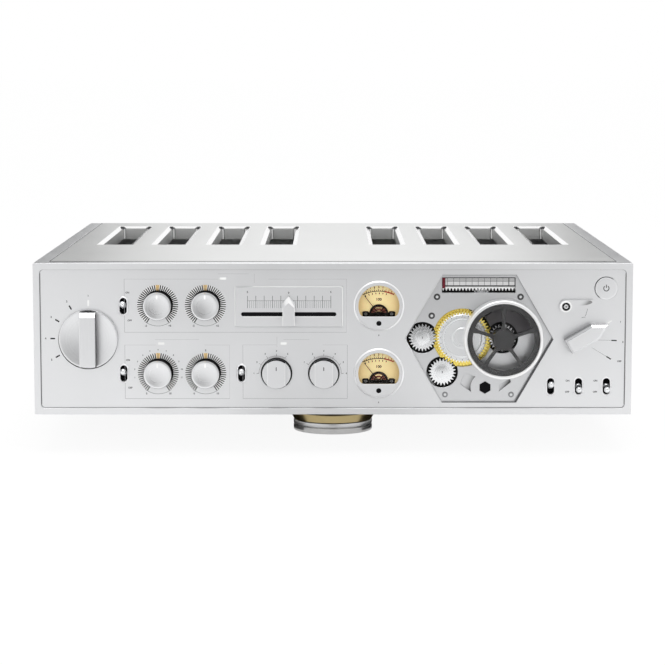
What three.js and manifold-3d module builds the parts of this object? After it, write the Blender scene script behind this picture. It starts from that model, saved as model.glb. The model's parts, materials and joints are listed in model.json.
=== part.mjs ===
// Integrated stereo amplifier: a low aluminium case on three disc feet, with a milled front that
// carries rotary controls, toggle switches, two level meters, a balance slider, and a volume dial whose
// gear train is open to view and moves a rack along a scale.
// Millimetres, +Z up, front towards -Y, origin under the middle of the whole amplifier.

import * as THREE from "three";
import { mergeVertices } from "three/addons/utils/BufferGeometryUtils.js";
import Module from "manifold-3d";

const wasm = await Module();
wasm.setup();

// Clearances and overruns
const seat = 0.3; // gap between a piece and the piece it rests on
const cut = 2; // how far a cutting body runs past the face it cuts

// Shares of a radius that shape a dish or a ball
const dishShares = [0.78, 0.85, 0.3];
const ballShares = [0.7, 0.75, 1.2];

// Facet counts
const roundSides = 32;
const smallSides = 16;
const smallRadius = 9; // rounds up to this radius get the smaller count
const tinySides = 8; // jacks, posts and other small repeats
const footSides = 24;
const cornerSteps = 3;

// Case
const caseWidth = 466;
const caseHeight = 118.6;
const caseDepth = 430;
const footHeight = 30.4;
const sideThick = 11;
const topThick = 12;
const bottomThick = 4;
const rearThick = 4;
const shadowGap = 2.4; // dark line between the front and the top cover
const innerHalf = caseWidth / 2 - sideThick - seat; // half the width between the sides

// The hexagon of the gear train stands at the right, with the meters beside its left corner
const hexMargin = 9.1; // from the hexagon to the top and bottom of the front
const hexInset = 119.2; // from its middle to the right side of the case
const meterFromCorner = 20.034; // from its corner to the middle of the meters
const hexFlats = caseHeight - 2 * hexMargin;
const hexX = caseWidth / 2 - hexInset;
const hexZ = caseHeight / 2;
const meterX = hexX - hexFlats / Math.sqrt(3) - meterFromCorner;

// Sizes and places of the gear train, as shares of the hexagon's width across flats
const gearModuleShare = 0.00816733;
const mainLeftShare = 0.127490; // from the middle of the hexagon
const mainRiseShare = 0.006972;
const recessRadiusShare = 0.122510;
const discRadiusShare = 0.198207;
const discHubShare = 0.079681;
const idlerHubShare = 0.057769;
const gearShaftShare = 0.024900;
const pillarRadiusShare = 0.029880;
const dialRadiusShare = 0.306773;
const dialRingShare = 0.025896;
const dialLedgeShare = 0.041833;
const dialStrutWideShare = 0.025896;
const dialHubShare = 0.084661;
const windowAtLeftShare = 0.287849;
const windowAtRightShare = 0.282869;
const windowAtTopShare = 0.477092;
const windowAtFootShare = 0.356574;
const scaleAtFootShare = 0.409363;
const rackAtPitchShare = 0.378486;
const rackAtLeftShare = 0.555777;
const rackAtRightShare = 0.320717;
const rackAtTopShare = 0.402390;
const boltHoleRightShare = 0.051793; // from the middle of the hexagon
const boltHoleBelowShare = 0.384462;
const boltHoleRadiusShare = 0.048805;
const fanInnerShare = 0.113546;
const fanOuterRightShare = 0.205179;
const fanOuterLeftShare = 0.192231;
const screwHighShare = 0.325697;
const screwHighLeftShare = 0.325697;
const screwHighRightShare = 0.321713;
const screwSideShare = 0.366534;
const screwSideRiseShare = 0.178287;
const screwLowShare = 0.439243;
const screwLowLeftShare = 0.259960;
const screwLowRightShare = 0.254980;
const inHexagon = (share) => share * hexFlats;

// Columns between the left side of the case and the meters, as shares of that length
const sourceColumnShare = 0.158854;
const toneColumnShare = 0.259673;
const ringColumnShares = [0.359747, 0.497768];
const inputColumnShare = 0.601562;
const barColumnShares = [0.703125, 0.840402];
const balanceColumnShare = 0.739025;
const balanceWideShare = 0.310640;
const columnLength = caseWidth / 2 + meterX;
const columnAt = (share) => share * columnLength - caseWidth / 2;

// Rows, as shares of the height of the case
const sourceRowShare = 0.502530;
const upperRowShare = 0.721754;
const lowerRowShare = 0.271501;
const balanceRowShare = 0.711214;
const balanceTallShare = 0.267285;
const meterRowShares = [0.717538, 0.271501];
const functionRowShare = 0.185497;
const inputRowShare = 0.270658;
const toneRowShare = 0.716695;
const directRowShare = 0.716695;
const powerRowShare = 0.833895;
const speakerRowShare = 0.495784;
const inletRowShare = 0.337268;
const jackRowShare = 0.623946;
const postRowShare = 0.219224;
const rowAt = (share) => share * caseHeight;

// Sizes of a meter, as shares of its radius
const meterRadiusShare = 0.166105; // of the height of the case
const meterWindowShare = 0.812183;
const meterWindowDropShare = 0.421320;
const meterWindowCornerShare = 0.203046;
const meterHoleShare = 0.101523;
const meterHoleDropShare = 0.690355;
const meterPivotDropShare = 0.335025;
const meterArchShare = 0.385787;
const meterBarTallShare = 0.162437;
const needleLongShare = 0.862944;
const meterReliefInsetShare = 0.121827;
const inMeter = (share) => share * meterRadius;

// Columns on the rear, as shares of the case's width from its middle
const inletColumnShare = -0.364807;
const jackColumnShare = 0.128755;
const postColumnShare = 0.085837;

// Front panel: a rim round a slightly sunk face, hollowed behind
const frontDepth = 14;
const rimWidth = 5;
const faceSink = 1.5;
const faceWall = 5;
const faceCorner = 3;
const backRim = 8;

// Vents in the top cover
const ventPairs = 4;
const ventInset = 47.4; // from the outermost vent's middle to the side of the case
const ventPitch = (caseWidth / 2 - ventInset) / ventPairs;
const ventWidth = 24;
const ventAhead = 163.6; // from the front edge of the cover to the vents
const ventStart = frontDepth + shadowGap + ventAhead;
const ventRear = 45; // from the vents' rear end to the back of the case
const ventBack = caseDepth - ventRear;
const ventBevel = 3.6;
const ventBevelDrop = 1.8;
const ventEar = 2.6;

// Source selector
const sourceX = columnAt(sourceColumnShare);
const sourceZ = rowAt(sourceRowShare);
const sourceRadius = 23;
const sourceRimTall = 3.5;
const sourceBarWide = 12.4;
const sourceBarTall = 11;
const sourceBarChamfer = 4;
const sourceDish = 2.2;

// Ring knobs: bass and treble over filter and gain
const ringKnobRadius = 10.9;
const ringKnobTall = 9;
const ringKnobEdge = 0.8;
const ringKnobMark = 1.2;
const [leftRingX, rightRingX] = ringColumnShares.map(columnAt);
const upperRow = rowAt(upperRowShare);
const lowerRow = rowAt(lowerRowShare);

// Selectors with a raised bar
const barKnobRadius = 11.1;
const barKnobTall = 9;
const barKnobBar = 13.4;
const barKnobStep = 4.5;
const barKnobGap = 1.1;
const barColumns = barColumnShares.map(columnAt);

// Knob shafts
const shaftRadius = 3;
const shaftPast = 6; // how far a shaft runs past the back of the wall

// Balance slider
const balanceX = columnAt(balanceColumnShare);
const balanceZ = rowAt(balanceRowShare);
const balanceWide = balanceWideShare * columnLength;
const balanceTall = rowAt(balanceTallShare);
const balanceProud = 0.5;
const balanceSlotDrop = 5.65; // below the middle of the plate
const balanceSlotEnd = 4.65; // from each end of the slot to the plate's edge
const balanceSlotZ = balanceZ - balanceSlotDrop;
const balanceSlotLong = balanceWide - 2 * balanceSlotEnd;
const balanceSlotTall = 3.2;
const capWide = 9.4;
const capBelow = 14.15; // below the middle of the plate
const capAbove = 8.65; // above it
const capRoof = 5.4; // height of the cap's pointed end
const capLow = balanceZ - capBelow;
const capHigh = balanceZ + capAbove;
const capShoulder = capHigh - capRoof;
const capProud = 7.5;
const capBevel = 3.4;

// Level meters
const meterRows = meterRowShares.map(rowAt);
const meterRadius = rowAt(meterRadiusShare);
const meterProud = 1.2;
const meterPlate = 1.6;
const meterEdge = 1.1; // of the bezel past its can
const meterCanRadius = meterRadius - meterEdge;
const meterCanWall = 1;
const meterCanDeep = 24;
const meterWindow = inMeter(meterWindowShare);
const meterWindowDrop = inMeter(meterWindowDropShare);
const meterWindowCorner = inMeter(meterWindowCornerShare);
const meterHole = inMeter(meterHoleShare);
const meterHoleDrop = inMeter(meterHoleDropShare);
const meterPivotDrop = inMeter(meterPivotDropShare);
const meterDialBack = 4.6;
const meterDialThick = 1;
const meterArch = inMeter(meterArchShare);
const meterBarTall = inMeter(meterBarTallShare);
const meterRelief = 1.2;
const meterGlass = 0.7;
const needleLong = inMeter(needleLongShare);
const needleWide = 0.7;
const needleThick = 0.4;
const needleHub = 1.6;
const needleStart = 38; // degrees left of upright
const needlePin = 0.5;
const meterReliefInset = inMeter(meterReliefInsetShare);

// Hexagonal gear plate in its opening
const hexBevel = 1.9;
const hexLedge = 6;
const gearPlateThick = 3;

// Gear train
const gearModule = inHexagon(gearModuleShare);
const smallTeeth = 24;
const largeTeeth = 52;
const gearThick = 3;
const gearBacklash = 0.28;
const toothLean = 20; // degrees
const addendumShare = 1;
const dedendumShare = 1.35;
const mainLeft = inHexagon(mainLeftShare);
const mainRise = inHexagon(mainRiseShare);
const mainX = hexX - mainLeft;
const mainZ = hexZ + mainRise;
const recessRadius = inHexagon(recessRadiusShare);
const mainClear = 0.7;
const discRadius = inHexagon(discRadiusShare);
const discThick = 1.1;
const discHub = inHexagon(discHubShare);
const discHubTall = 0.6;
const idlerHub = inHexagon(idlerHubShare);
const idlerHubTall = 1.1;
const idlerDirections = [180, 240];
const gearShaft = inHexagon(gearShaftShare);
const bridgeGap = 3;
const bridgeThick = 2;

// Volume dial
const dialWindowSpan = [14, 150];
const pillarRadius = inHexagon(pillarRadiusShare);
const dialRadius = inHexagon(dialRadiusShare);
const dialTall = 15;
const dialRing = inHexagon(dialRingShare);
const dialLedge = inHexagon(dialLedgeShare);
const dialStrutThick = 2.4;
const dialStrutWide = inHexagon(dialStrutWideShare);
const dialStrutSink = 2.6;
const dialHub = inHexagon(dialHubShare);
const dialSpokeCount = 5;
const dialClear = 0.5;
const dialGlass = 0.8;

// Volume scale and rack
// Each is measured from the middle of the hexagon
const windowAtLeft = inHexagon(windowAtLeftShare);
const windowAtRight = inHexagon(windowAtRightShare);
const windowAtTop = inHexagon(windowAtTopShare);
const windowAtFoot = inHexagon(windowAtFootShare);
const scaleAtFoot = inHexagon(scaleAtFootShare);
const rackAtPitch = inHexagon(rackAtPitchShare);
const rackAtLeft = inHexagon(rackAtLeftShare);
const rackAtRight = inHexagon(rackAtRightShare);
const rackAtTop = inHexagon(rackAtTopShare);
const windowLeft = hexX - windowAtLeft;
const windowRight = hexX + windowAtRight;
const windowHigh = hexZ + windowAtTop;
const windowLow = hexZ + windowAtFoot;
const scaleLow = hexZ + scaleAtFoot;
const rackPitchZ = hexZ + rackAtPitch;
const rackLeft = hexX - rackAtLeft;
const rackRight = hexX + rackAtRight;
const rackTop = hexZ + rackAtTop;
const rackThick = 2.4;
const pointerWide = 2.2;
const pointerThick = 0.8;
const scaleThick = 1;

// Round and hexagonal details of the gear plate
const boltHoleRight = inHexagon(boltHoleRightShare);
const boltHoleBelow = inHexagon(boltHoleBelowShare);
const boltHoleX = hexX + boltHoleRight;
const boltHoleZ = hexZ - boltHoleBelow;
const boltHoleRadius = inHexagon(boltHoleRadiusShare);
const fanDepth = 1.6;
const fanInner = inHexagon(fanInnerShare);
const fanOuterRight = inHexagon(fanOuterRightShare);
const fanOuterLeft = inHexagon(fanOuterLeftShare);
// Each sunk fan: its outer radius, then the spans of its inner and outer arcs in degrees
const fans = [
  [fanOuterRight, [-14, 12], [12, 20]],
  [fanOuterLeft, [131, 197], [144, 172]],
];

// Screws of the gear plate, from the middle of the hexagon
const screwHigh = inHexagon(screwHighShare);
const screwHighLeft = inHexagon(screwHighLeftShare);
const screwHighRight = inHexagon(screwHighRightShare);
const screwSide = inHexagon(screwSideShare);
const screwSideRise = inHexagon(screwSideRiseShare);
const screwLow = inHexagon(screwLowShare);
const screwLowLeft = inHexagon(screwLowLeftShare);
const screwLowRight = inHexagon(screwLowRightShare);
const screwPlaces = [
  [hexX - screwHighLeft, hexZ + screwHigh],
  [hexX + screwHighRight, hexZ + screwHigh],
  [hexX - screwSide, hexZ + screwSideRise],
  [hexX - screwLowLeft, hexZ - screwLow],
  [hexX + screwLowRight, hexZ - screwLow],
];

// Toggle switches
const toggleWide = 5.6;
const toggleTall = 12.8;
const toggleBall = 2.5;
const toggleTip = 1.9;
const toggleLong = 10.5;
const toggleTilt = 14;
const functionInset = 19.4; // from the rightmost toggle to the right side of the case
const functionPitch = 21.75;
const toneX = columnAt(toneColumnShare);
const inputX = columnAt(inputColumnShare);
const functionRightX = caseWidth / 2 - functionInset;
const functionMiddleX = functionRightX - functionPitch;
const functionLeftX = functionMiddleX - functionPitch;
const functionZ = rowAt(functionRowShare);
const inputZ = rowAt(inputRowShare);
const toneZ = rowAt(toneRowShare);
// Each toggle: its name, its place, and whether it rests up or down
const togglePlaces = [
  ["toggle_tone", toneX, toneZ, 1],
  ["toggle_crossover", toneX, inputZ, 1],
  ["toggle_input", inputX, inputZ, 1],
  ["toggle_function_left", functionLeftX, functionZ, 1],
  ["toggle_function_middle", functionMiddleX, functionZ, -1],
  ["toggle_function_right", functionRightX, functionZ, -1],
];

// Direct lever
const directInset = 52;
const directX = caseWidth / 2 - directInset;
const directZ = rowAt(directRowShare);
const directHead = 5;
const directTip = 2.2;
const directLong = 20.5;
const directRise = 8; // degrees
const directThick = 3.4;
const directBoss = 3.3;
const directBossTall = 1;

// Power button
const powerInset = 20.5;
const powerX = caseWidth / 2 - powerInset;
const powerZ = rowAt(powerRowShare);
const powerRadius = 8.6;
const powerGap = 0.5;
const powerProud = 0.4;
const powerFlange = 10.4;
const powerFlangeThick = 1.6;

// Speaker selector: an arrow-shaped lever
const speakerInset = 41.4;
const speakerX = caseWidth / 2 - speakerInset;
const speakerZ = rowAt(speakerRowShare);
const speakerWide = 12.5;
const speakerRear = 10;
const speakerStraight = 13.7;
const speakerPoint = 11;
const speakerTall = 11;
const speakerBevel = 1.6;
const speakerAngle = 30;

// Feet: a neck, a tapered ring round a core, and a grooved disc
const footRadius = 32.6;
const footNeck = 30;
const footNeckTall = 13.7;
const footCore = 24;
const footRingWide = 36;
const footRingNarrow = 32.5;
const footRingTall = 6.8;
const footGroove = 29;
const footGrooveTall = 0.9;
const footUpperTall = 3.4;
const footChamfer = 0.7;
const footSetback = 119;
const rearFootInset = 62;
const rearFootMargin = 68;
const rearFootX = caseWidth / 2 - rearFootMargin;

// Inside: heat sinks, transformer, circuit board
const sinkWide = 96;
const sinkFront = 172;
const sinkRear = 38; // from the fins to the back of the case
const sinkBack = caseDepth - sinkRear;
const sinkBase = 6;
const sinkTall = 78;
const sinkFins = 9;
const sinkFinThick = 2.2;
const sinkInset = 6;
const coreRadius = 66;
const coreHole = 22;
const coreTall = 58;
const coreEdge = 10;
const coreBehind = 4; // from the meters to the transformer
const coreY = faceSink + meterCanDeep + coreBehind + coreRadius;
const boardEdgeGap = 24.7; // from the board to a heat sink
const boardAhead = 53.5; // from the transformer to the board
const boardBehind = 61; // from the board to the rear panel
const boardWide = 2 * (innerHalf - sinkInset - sinkWide - boardEdgeGap);
const boardFront = coreY + coreRadius + boardAhead;
const boardBack = caseDepth - rearThick - boardBehind;
const boardDeep = boardBack - boardFront;
const boardThick = 1.6;
const boardY = boardFront + boardDeep / 2;
const boardPost = 4;
const boardPostTall = 8;
const capacitorRadius = 17;
const capacitorTall = 52;
const capacitorRows = 2;
const capacitorPitch = 42;

// Rear sockets
const inletX = inletColumnShare * caseWidth;
const inletZ = rowAt(inletRowShare);
const inletWide = 32;
const inletTall = 24;
const inletProud = 2;
const inletDeep = 18;
const inletWall = 3.4;
const inletFloor = 2;
const bladeWide = 2;
const bladeTall = 4;
const bladeLong = 8;
const jackRadius = 4.2;
const jackTall = 8;
const jackPitch = 19;
const jackPairs = 6; // one jack above another
const jackX = jackColumnShare * caseWidth;
const jackZ = rowAt(jackRowShare);
const jackTierGap = 22;
const jackPlate = 1.6;
const jackMargin = 9;
const postRadius = 7;
const postTall = 16;
const postPitch = 26;
const postCount = 4;
const postX = postColumnShare * caseWidth;
const postZ = rowAt(postRowShare);

// Colours and finishes
const silver = new THREE.MeshStandardMaterial({ color: 0xd6d7d9, roughness: 0.42, metalness: 0.75 });
const brightSteel = new THREE.MeshStandardMaterial({ color: 0xe6e8ea, roughness: 0.2, metalness: 1 });
const gold = new THREE.MeshStandardMaterial({ color: 0xd8b95a, roughness: 0.3, metalness: 1 });
const black = new THREE.MeshStandardMaterial({ color: 0x151515, roughness: 0.5, metalness: 0.2 });
const amber = new THREE.MeshStandardMaterial({ color: 0xf2dc9a, roughness: 0.6, metalness: 0 });
const clear = new THREE.MeshStandardMaterial({
  color: 0xe8eef0,
  roughness: 0.05,
  metalness: 0,
  transparent: true,
  opacity: 0.3,
});
const white = new THREE.MeshStandardMaterial({ color: 0xe9e9e6, roughness: 0.6, metalness: 0 });
const red = new THREE.MeshStandardMaterial({ color: 0x6a1220, roughness: 0.5, metalness: 0 });
const boardGreen = new THREE.MeshStandardMaterial({ color: 0x24402c, roughness: 0.6, metalness: 0.1 });
const winding = new THREE.MeshStandardMaterial({ color: 0x8a5a2c, roughness: 0.55, metalness: 0.3 });

// Depths, measured back from the front of the rim
const faceY = faceSink;
const wallBackY = faceY + faceWall;
const bodyFrontY = frontDepth + seat;
const gearPlateY = faceY + hexBevel + seat;
const gearPlateBackY = gearPlateY + gearPlateThick;

// A closed solid from a geometry: corners merged, collapsed triangles dropped, faces turned outwards.
function solid(geometry) {
  const bare = geometry.clone();
  bare.deleteAttribute("normal");
  bare.deleteAttribute("uv");
  const merged = mergeVertices(bare, 1e-4);
  const kept = [];
  const index = merged.index.array;
  for (let i = 0; i < index.length; i += 3) {
    const [a, b, c] = [index[i], index[i + 1], index[i + 2]];
    if (a !== b && b !== c && c !== a) kept.push(a, b, c);
  }
  const make = (tris) =>
    new wasm.Manifold(
      new wasm.Mesh({
        numProp: 3,
        vertProperties: new Float32Array(merged.attributes.position.array),
        triVerts: new Uint32Array(tris),
      }),
    );
  const first = make(kept);
  if (first.volume() > 0) return first;
  for (let i = 0; i < kept.length; i += 3) [kept[i + 1], kept[i + 2]] = [kept[i + 2], kept[i + 1]];
  return make(kept);
}

function joined(first, ...others) {
  return others.reduce((sum, other) => sum.add(other), first);
}

function carved(body, ...cutters) {
  return cutters.reduce((rest, cutter) => rest.subtract(cutter), body);
}

// A plate whose outline is drawn in X and Z, from one depth to another.
function plate(shape, fromY, toY, steps = cornerSteps) {
  const geometry = new THREE.ExtrudeGeometry(shape, {
    depth: toY - fromY,
    bevelEnabled: false,
    curveSegments: steps,
  });
  geometry.rotateX(Math.PI / 2);
  geometry.translate(0, toY, 0);
  return solid(geometry);
}

// A block between two corners.
function block(low, high) {
  const size = high.map((value, i) => value - low[i]);
  const geometry = new THREE.BoxGeometry(...size);
  geometry.translate(...low.map((value, i) => value + size[i] / 2));
  return solid(geometry);
}

// A turned body about a line along Y through (x, z); the profile gives radius and depth.
function turned(profile, x, z, sides = roundSides) {
  const points = profile.map(([radius, y]) => new THREE.Vector2(radius, y));
  const geometry = new THREE.LatheGeometry(points, sides);
  geometry.translate(x, 0, z);
  return solid(geometry);
}

// A turned body about an upright line through (x, y); the profile gives radius and height.
function standing(profile, x, y, sides = roundSides) {
  const points = profile.map(([radius, z]) => new THREE.Vector2(radius, z));
  const geometry = new THREE.LatheGeometry(points, sides);
  geometry.rotateX(Math.PI / 2);
  geometry.translate(x, y, 0);
  return solid(geometry);
}

function sidesFor(radius) {
  return radius > smallRadius ? roundSides : smallSides;
}

function disc(x, z, radius, fromY, toY, sides = sidesFor(radius)) {
  const profile = [
    [0, fromY],
    [radius, fromY],
    [radius, toY],
    [0, toY],
  ];
  return turned(profile, x, z, sides);
}

// A circle as a polygon whose corners match those of turned bodies.
function circlePath(x, z, radius, Kind = THREE.Path) {
  const path = new Kind();
  const sides = sidesFor(radius);
  for (let i = 0; i < sides; i++) {
    const angle = (i * 2 * Math.PI) / sides;
    const point = [x + radius * Math.cos(angle), z + radius * Math.sin(angle)];
    if (i) path.lineTo(...point);
    else path.moveTo(...point);
  }
  path.closePath();
  return path;
}

function rectShape(x0, z0, x1, z1, Kind = THREE.Shape) {
  const path = new Kind();
  path.moveTo(x0, z0);
  path.lineTo(x1, z0);
  path.lineTo(x1, z1);
  path.lineTo(x0, z1);
  path.closePath();
  return path;
}

function roundRect(x0, z0, x1, z1, radius, Kind = THREE.Shape) {
  const path = new Kind();
  path.absarc(x1 - radius, z0 + radius, radius, -Math.PI / 2, 0, false);
  path.absarc(x1 - radius, z1 - radius, radius, 0, Math.PI / 2, false);
  path.absarc(x0 + radius, z1 - radius, radius, Math.PI / 2, Math.PI, false);
  path.absarc(x0 + radius, z0 + radius, radius, Math.PI, Math.PI * 1.5, false);
  path.closePath();
  return path;
}

// A slot with round ends, upright.
function capsule(x, z, wide, tall, Kind = THREE.Path) {
  const radius = wide / 2;
  const reach = tall / 2 - radius;
  const path = new Kind();
  path.absarc(x, z + reach, radius, 0, Math.PI, false);
  path.absarc(x, z - reach, radius, Math.PI, Math.PI * 2, false);
  path.closePath();
  return path;
}

// A regular hexagon by its distance across flats, with flats or a corner at the top.
function hexagon(x, z, flats, flatTop, Kind = THREE.Shape) {
  const radius = flats / Math.sqrt(3);
  const path = new Kind();
  for (let i = 0; i < 6; i++) {
    const angle = (i * Math.PI) / 3 + (flatTop ? 0 : Math.PI / 6);
    const point = [x + radius * Math.cos(angle), z + radius * Math.sin(angle)];
    if (i) path.lineTo(...point);
    else path.moveTo(...point);
  }
  path.closePath();
  return path;
}

// A solid through rings of points that match one by one.
function loft(rings) {
  const count = rings[0].length;
  const positions = rings.flat().flatMap((p) => [p.x, p.y, p.z]);
  const index = [];
  for (let r = 0; r + 1 < rings.length; r++) {
    for (let i = 0; i < count; i++) {
      const a = r * count + i;
      const b = r * count + ((i + 1) % count);
      index.push(a, b, b + count, a, b + count, a + count);
    }
  }
  const caps = THREE.ShapeUtils.triangulateShape(
    rings[0].map((p) => new THREE.Vector2(p.x, p.z)),
    [],
  );
  const last = (rings.length - 1) * count;
  const turn =
    THREE.ShapeUtils.area(rings[0].map((p) => new THREE.Vector2(p.x, p.z))) > 0 ? 1 : -1;
  for (const [a, b, c] of caps) {
    if (turn > 0) index.push(a, c, b, last + a, last + b, last + c);
    else index.push(a, b, c, last + a, last + c, last + b);
  }
  const geometry = new THREE.BufferGeometry();
  geometry.setAttribute("position", new THREE.Float32BufferAttribute(positions, 3));
  geometry.setIndex(index);
  return solid(geometry);
}

// The points of an outline at one depth, moved inwards (or outwards) along the corners' bisectors.
function ringAt(points, y, inset) {
  const count = points.length;
  return points.map((p, i) => {
    const before = points[(i + count - 1) % count];
    const after = points[(i + 1) % count];
    const u = new THREE.Vector2(p.x - before.x, p.y - before.y).normalize();
    const v = new THREE.Vector2(after.x - p.x, after.y - p.y).normalize();
    const normal = new THREE.Vector2(-(u.y + v.y), u.x + v.x).normalize();
    const lean = Math.sqrt((1 + u.dot(v)) / 2);
    return new THREE.Vector3(
      p.x + (normal.x * inset) / lean,
      y,
      p.y + (normal.y * inset) / lean,
    );
  });
}

function outline(shape, steps = cornerSteps) {
  const points = shape.getPoints(steps);
  const kept = points.filter((p, i) => p.distanceTo(points[(i + 1) % points.length]) > 1e-3);
  return THREE.ShapeUtils.area(kept) > 0 ? kept : kept.reverse();
}

// A body turned about a line along Y through (x, z); positive angles are clockwise from the front.
function spun(body, x, z, degrees) {
  return body.translate([-x, 0, -z]).rotate([0, degrees, 0]).translate([x, 0, z]);
}

// The finished mesh of one piece.
function piece(name, body, material) {
  const made = body.getMesh();
  const geometry = new THREE.BufferGeometry();
  geometry.setAttribute("position", new THREE.BufferAttribute(made.vertProperties, made.numProp));
  geometry.setIndex(new THREE.BufferAttribute(made.triVerts, 1));
  geometry.computeVertexNormals();
  const mesh = new THREE.Mesh(geometry, material);
  mesh.name = name;
  return mesh;
}

// Gears
const smallPitch = (gearModule * smallTeeth) / 2;
const largePitch = (gearModule * largeTeeth) / 2;
const centreGap = smallPitch + largePitch;
const toothPitch = Math.PI * gearModule;
const radians = (degrees) => (degrees * Math.PI) / 180;

// Half the thickness of a tooth at a height above the pitch line.
function halfTooth(height) {
  return toothPitch / 4 - gearBacklash / 2 - height * Math.tan(radians(toothLean));
}

// The outline of a spur gear with the middle of one tooth at the angle phase.
function gearShape(x, z, teeth, phase) {
  const pitch = (gearModule * teeth) / 2;
  const tip = gearModule * addendumShare;
  const root = -gearModule * dedendumShare;
  const flank = [
    [root, -1],
    [tip, -1],
    [tip, 1],
    [root, 1],
  ];
  const shape = new THREE.Shape();
  for (let i = 0; i < teeth; i++) {
    const middle = phase + (i * 2 * Math.PI) / teeth;
    flank.forEach(([height, side], corner) => {
      const angle = middle + (side * halfTooth(height)) / pitch;
      const radius = pitch + height;
      const point = [x + radius * Math.cos(angle), z + radius * Math.sin(angle)];
      if (i || corner) shape.lineTo(...point);
      else shape.moveTo(...point);
    });
  }
  shape.closePath();
  return shape;
}

// The phase that puts a gap of the second gear at a tooth of the first, along the line of centres.
function meshPhase(firstTeeth, firstPhase, direction, secondTeeth) {
  const share = (direction - firstPhase) / ((2 * Math.PI) / firstTeeth);
  return direction + Math.PI - ((0.5 - share) * 2 * Math.PI) / secondTeeth;
}

const mainPhase = Math.PI / largeTeeth;
const pinionZ = rackPitchZ - smallPitch;
const pinionX = mainX + Math.sqrt(centreGap ** 2 - (pinionZ - mainZ) ** 2);
const pinionDirection = Math.atan2(pinionZ - mainZ, pinionX - mainX);
const dialX = mainX + centreGap;
const dialZ = mainZ;
const gearFrontY = gearPlateY;
const gearBackY = gearFrontY + gearThick;
const mainTip = largePitch + gearModule * addendumShare;
const rearPlaneY = gearPlateBackY + seat;
const bridgeY = gearPlateBackY + bridgeGap;
const bridgeBackY = bridgeY + bridgeThick;
const shaftEndY = bridgeBackY;
const idlerPlaces = idlerDirections.map((degrees) => [
  mainX + centreGap * Math.cos(radians(degrees)),
  mainZ + centreGap * Math.sin(radians(degrees)),
]);

// Front panel
const knobPlaces = [
  ["bass_knob", leftRingX, upperRow],
  ["treble_knob", rightRingX, upperRow],
  ["filter_knob", leftRingX, lowerRow],
  ["gain_knob", rightRingX, lowerRow],
];

function frontPanel() {
  const halfWide = caseWidth / 2;
  const face = rectShape(
    -halfWide + rimWidth,
    rimWidth,
    halfWide - rimWidth,
    caseHeight - rimWidth,
  );
  const shaftHole = shaftRadius + seat;
  const holes = [
    circlePath(sourceX, sourceZ, shaftHole),
    circlePath(speakerX, speakerZ, shaftHole),
    circlePath(directX, directZ, shaftHole),
    circlePath(powerX, powerZ, powerRadius + powerGap),
    ...barColumns.map((x) => circlePath(x, lowerRow, shaftHole)),
    ...knobPlaces.map(([, x, z]) => circlePath(x, z, shaftHole)),
    ...meterRows.map((z) => circlePath(meterX, z, meterCanRadius + seat)),
    ...togglePlaces.map(([, x, z]) => capsule(x, z, toggleWide, toggleTall)),
  ];
  face.holes.push(...holes);
  const balanceHole = rectShape(
    balanceX - balanceWide / 2 - seat,
    balanceZ - balanceTall / 2 - seat,
    balanceX + balanceWide / 2 + seat,
    balanceZ + balanceTall / 2 + seat,
    THREE.Path,
  );
  face.holes.push(balanceHole);
  face.holes.push(hexagon(hexX, hexZ, hexFlats - 2 * hexBevel, true, THREE.Path));
  const wall = plate(face, faceY, wallBackY, cornerSteps * 2);

  const rim = rectShape(-halfWide, 0, halfWide, caseHeight);
  rim.holes.push(
    roundRect(
      -halfWide + rimWidth,
      rimWidth,
      halfWide - rimWidth,
      caseHeight - rimWidth,
      faceCorner,
      THREE.Path,
    ),
  );
  const frontRim = plate(rim, 0, wallBackY);
  const back = rectShape(-halfWide, 0, halfWide, caseHeight);
  back.holes.push(
    rectShape(-halfWide + backRim, backRim, halfWide - backRim, caseHeight - backRim, THREE.Path),
  );
  const backFrame = plate(back, wallBackY - seat, frontDepth);

  const hexPoints = outline(hexagon(hexX, hexZ, hexFlats, true));
  const bevel = loft([
    ringAt(hexPoints, faceY - seat, -seat),
    ringAt(hexPoints, faceY + hexBevel + seat, hexBevel + seat),
  ]);
  const pocket = plate(
    hexagon(hexX, hexZ, hexFlats + 2 * hexLedge, true),
    faceY + hexBevel,
    wallBackY + cut,
  );
  const barRings = barColumns.map((x) =>
    turned(
      ringProfile(2 * shaftHole, barKnobRadius + barKnobGap, faceY - cut, faceY + barKnobStep / 2),
      x,
      lowerRow,
    ),
  );
  return carved(
    joined(wall, frontRim, backFrame),
    bevel,
    pocket,
    ...barRings,
  );
}

// The closed profile of a ring with square edges.
function ringProfile(inner, outer, fromY, toY) {
  return [
    [inner, fromY],
    [outer, fromY],
    [outer, toY],
    [inner, toY],
    [inner, fromY],
  ];
}

// Case
function topCover() {
  const top = rectShape(-innerHalf, frontDepth + shadowGap, innerHalf, caseDepth);
  const bevels = [];
  for (let pair = 0; pair < ventPairs; pair++) {
    for (const side of [-1, 1]) {
      const x = side * ventPitch * (pair + 1);
      const low = [x - ventWidth / 2, ventStart];
      const high = [x + ventWidth / 2, ventBack];
      top.holes.push(earedSlot(low, high));
      bevels.push([low, high]);
    }
  }
  const geometry = new THREE.ExtrudeGeometry(top, {
    depth: topThick,
    bevelEnabled: false,
    curveSegments: cornerSteps,
  });
  geometry.translate(0, 0, caseHeight - topThick);
  const cover = solid(geometry);
  const sinks = bevels.map(([low, high]) => slopedRecess(low, high));
  return carved(cover, ...sinks);
}

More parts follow.
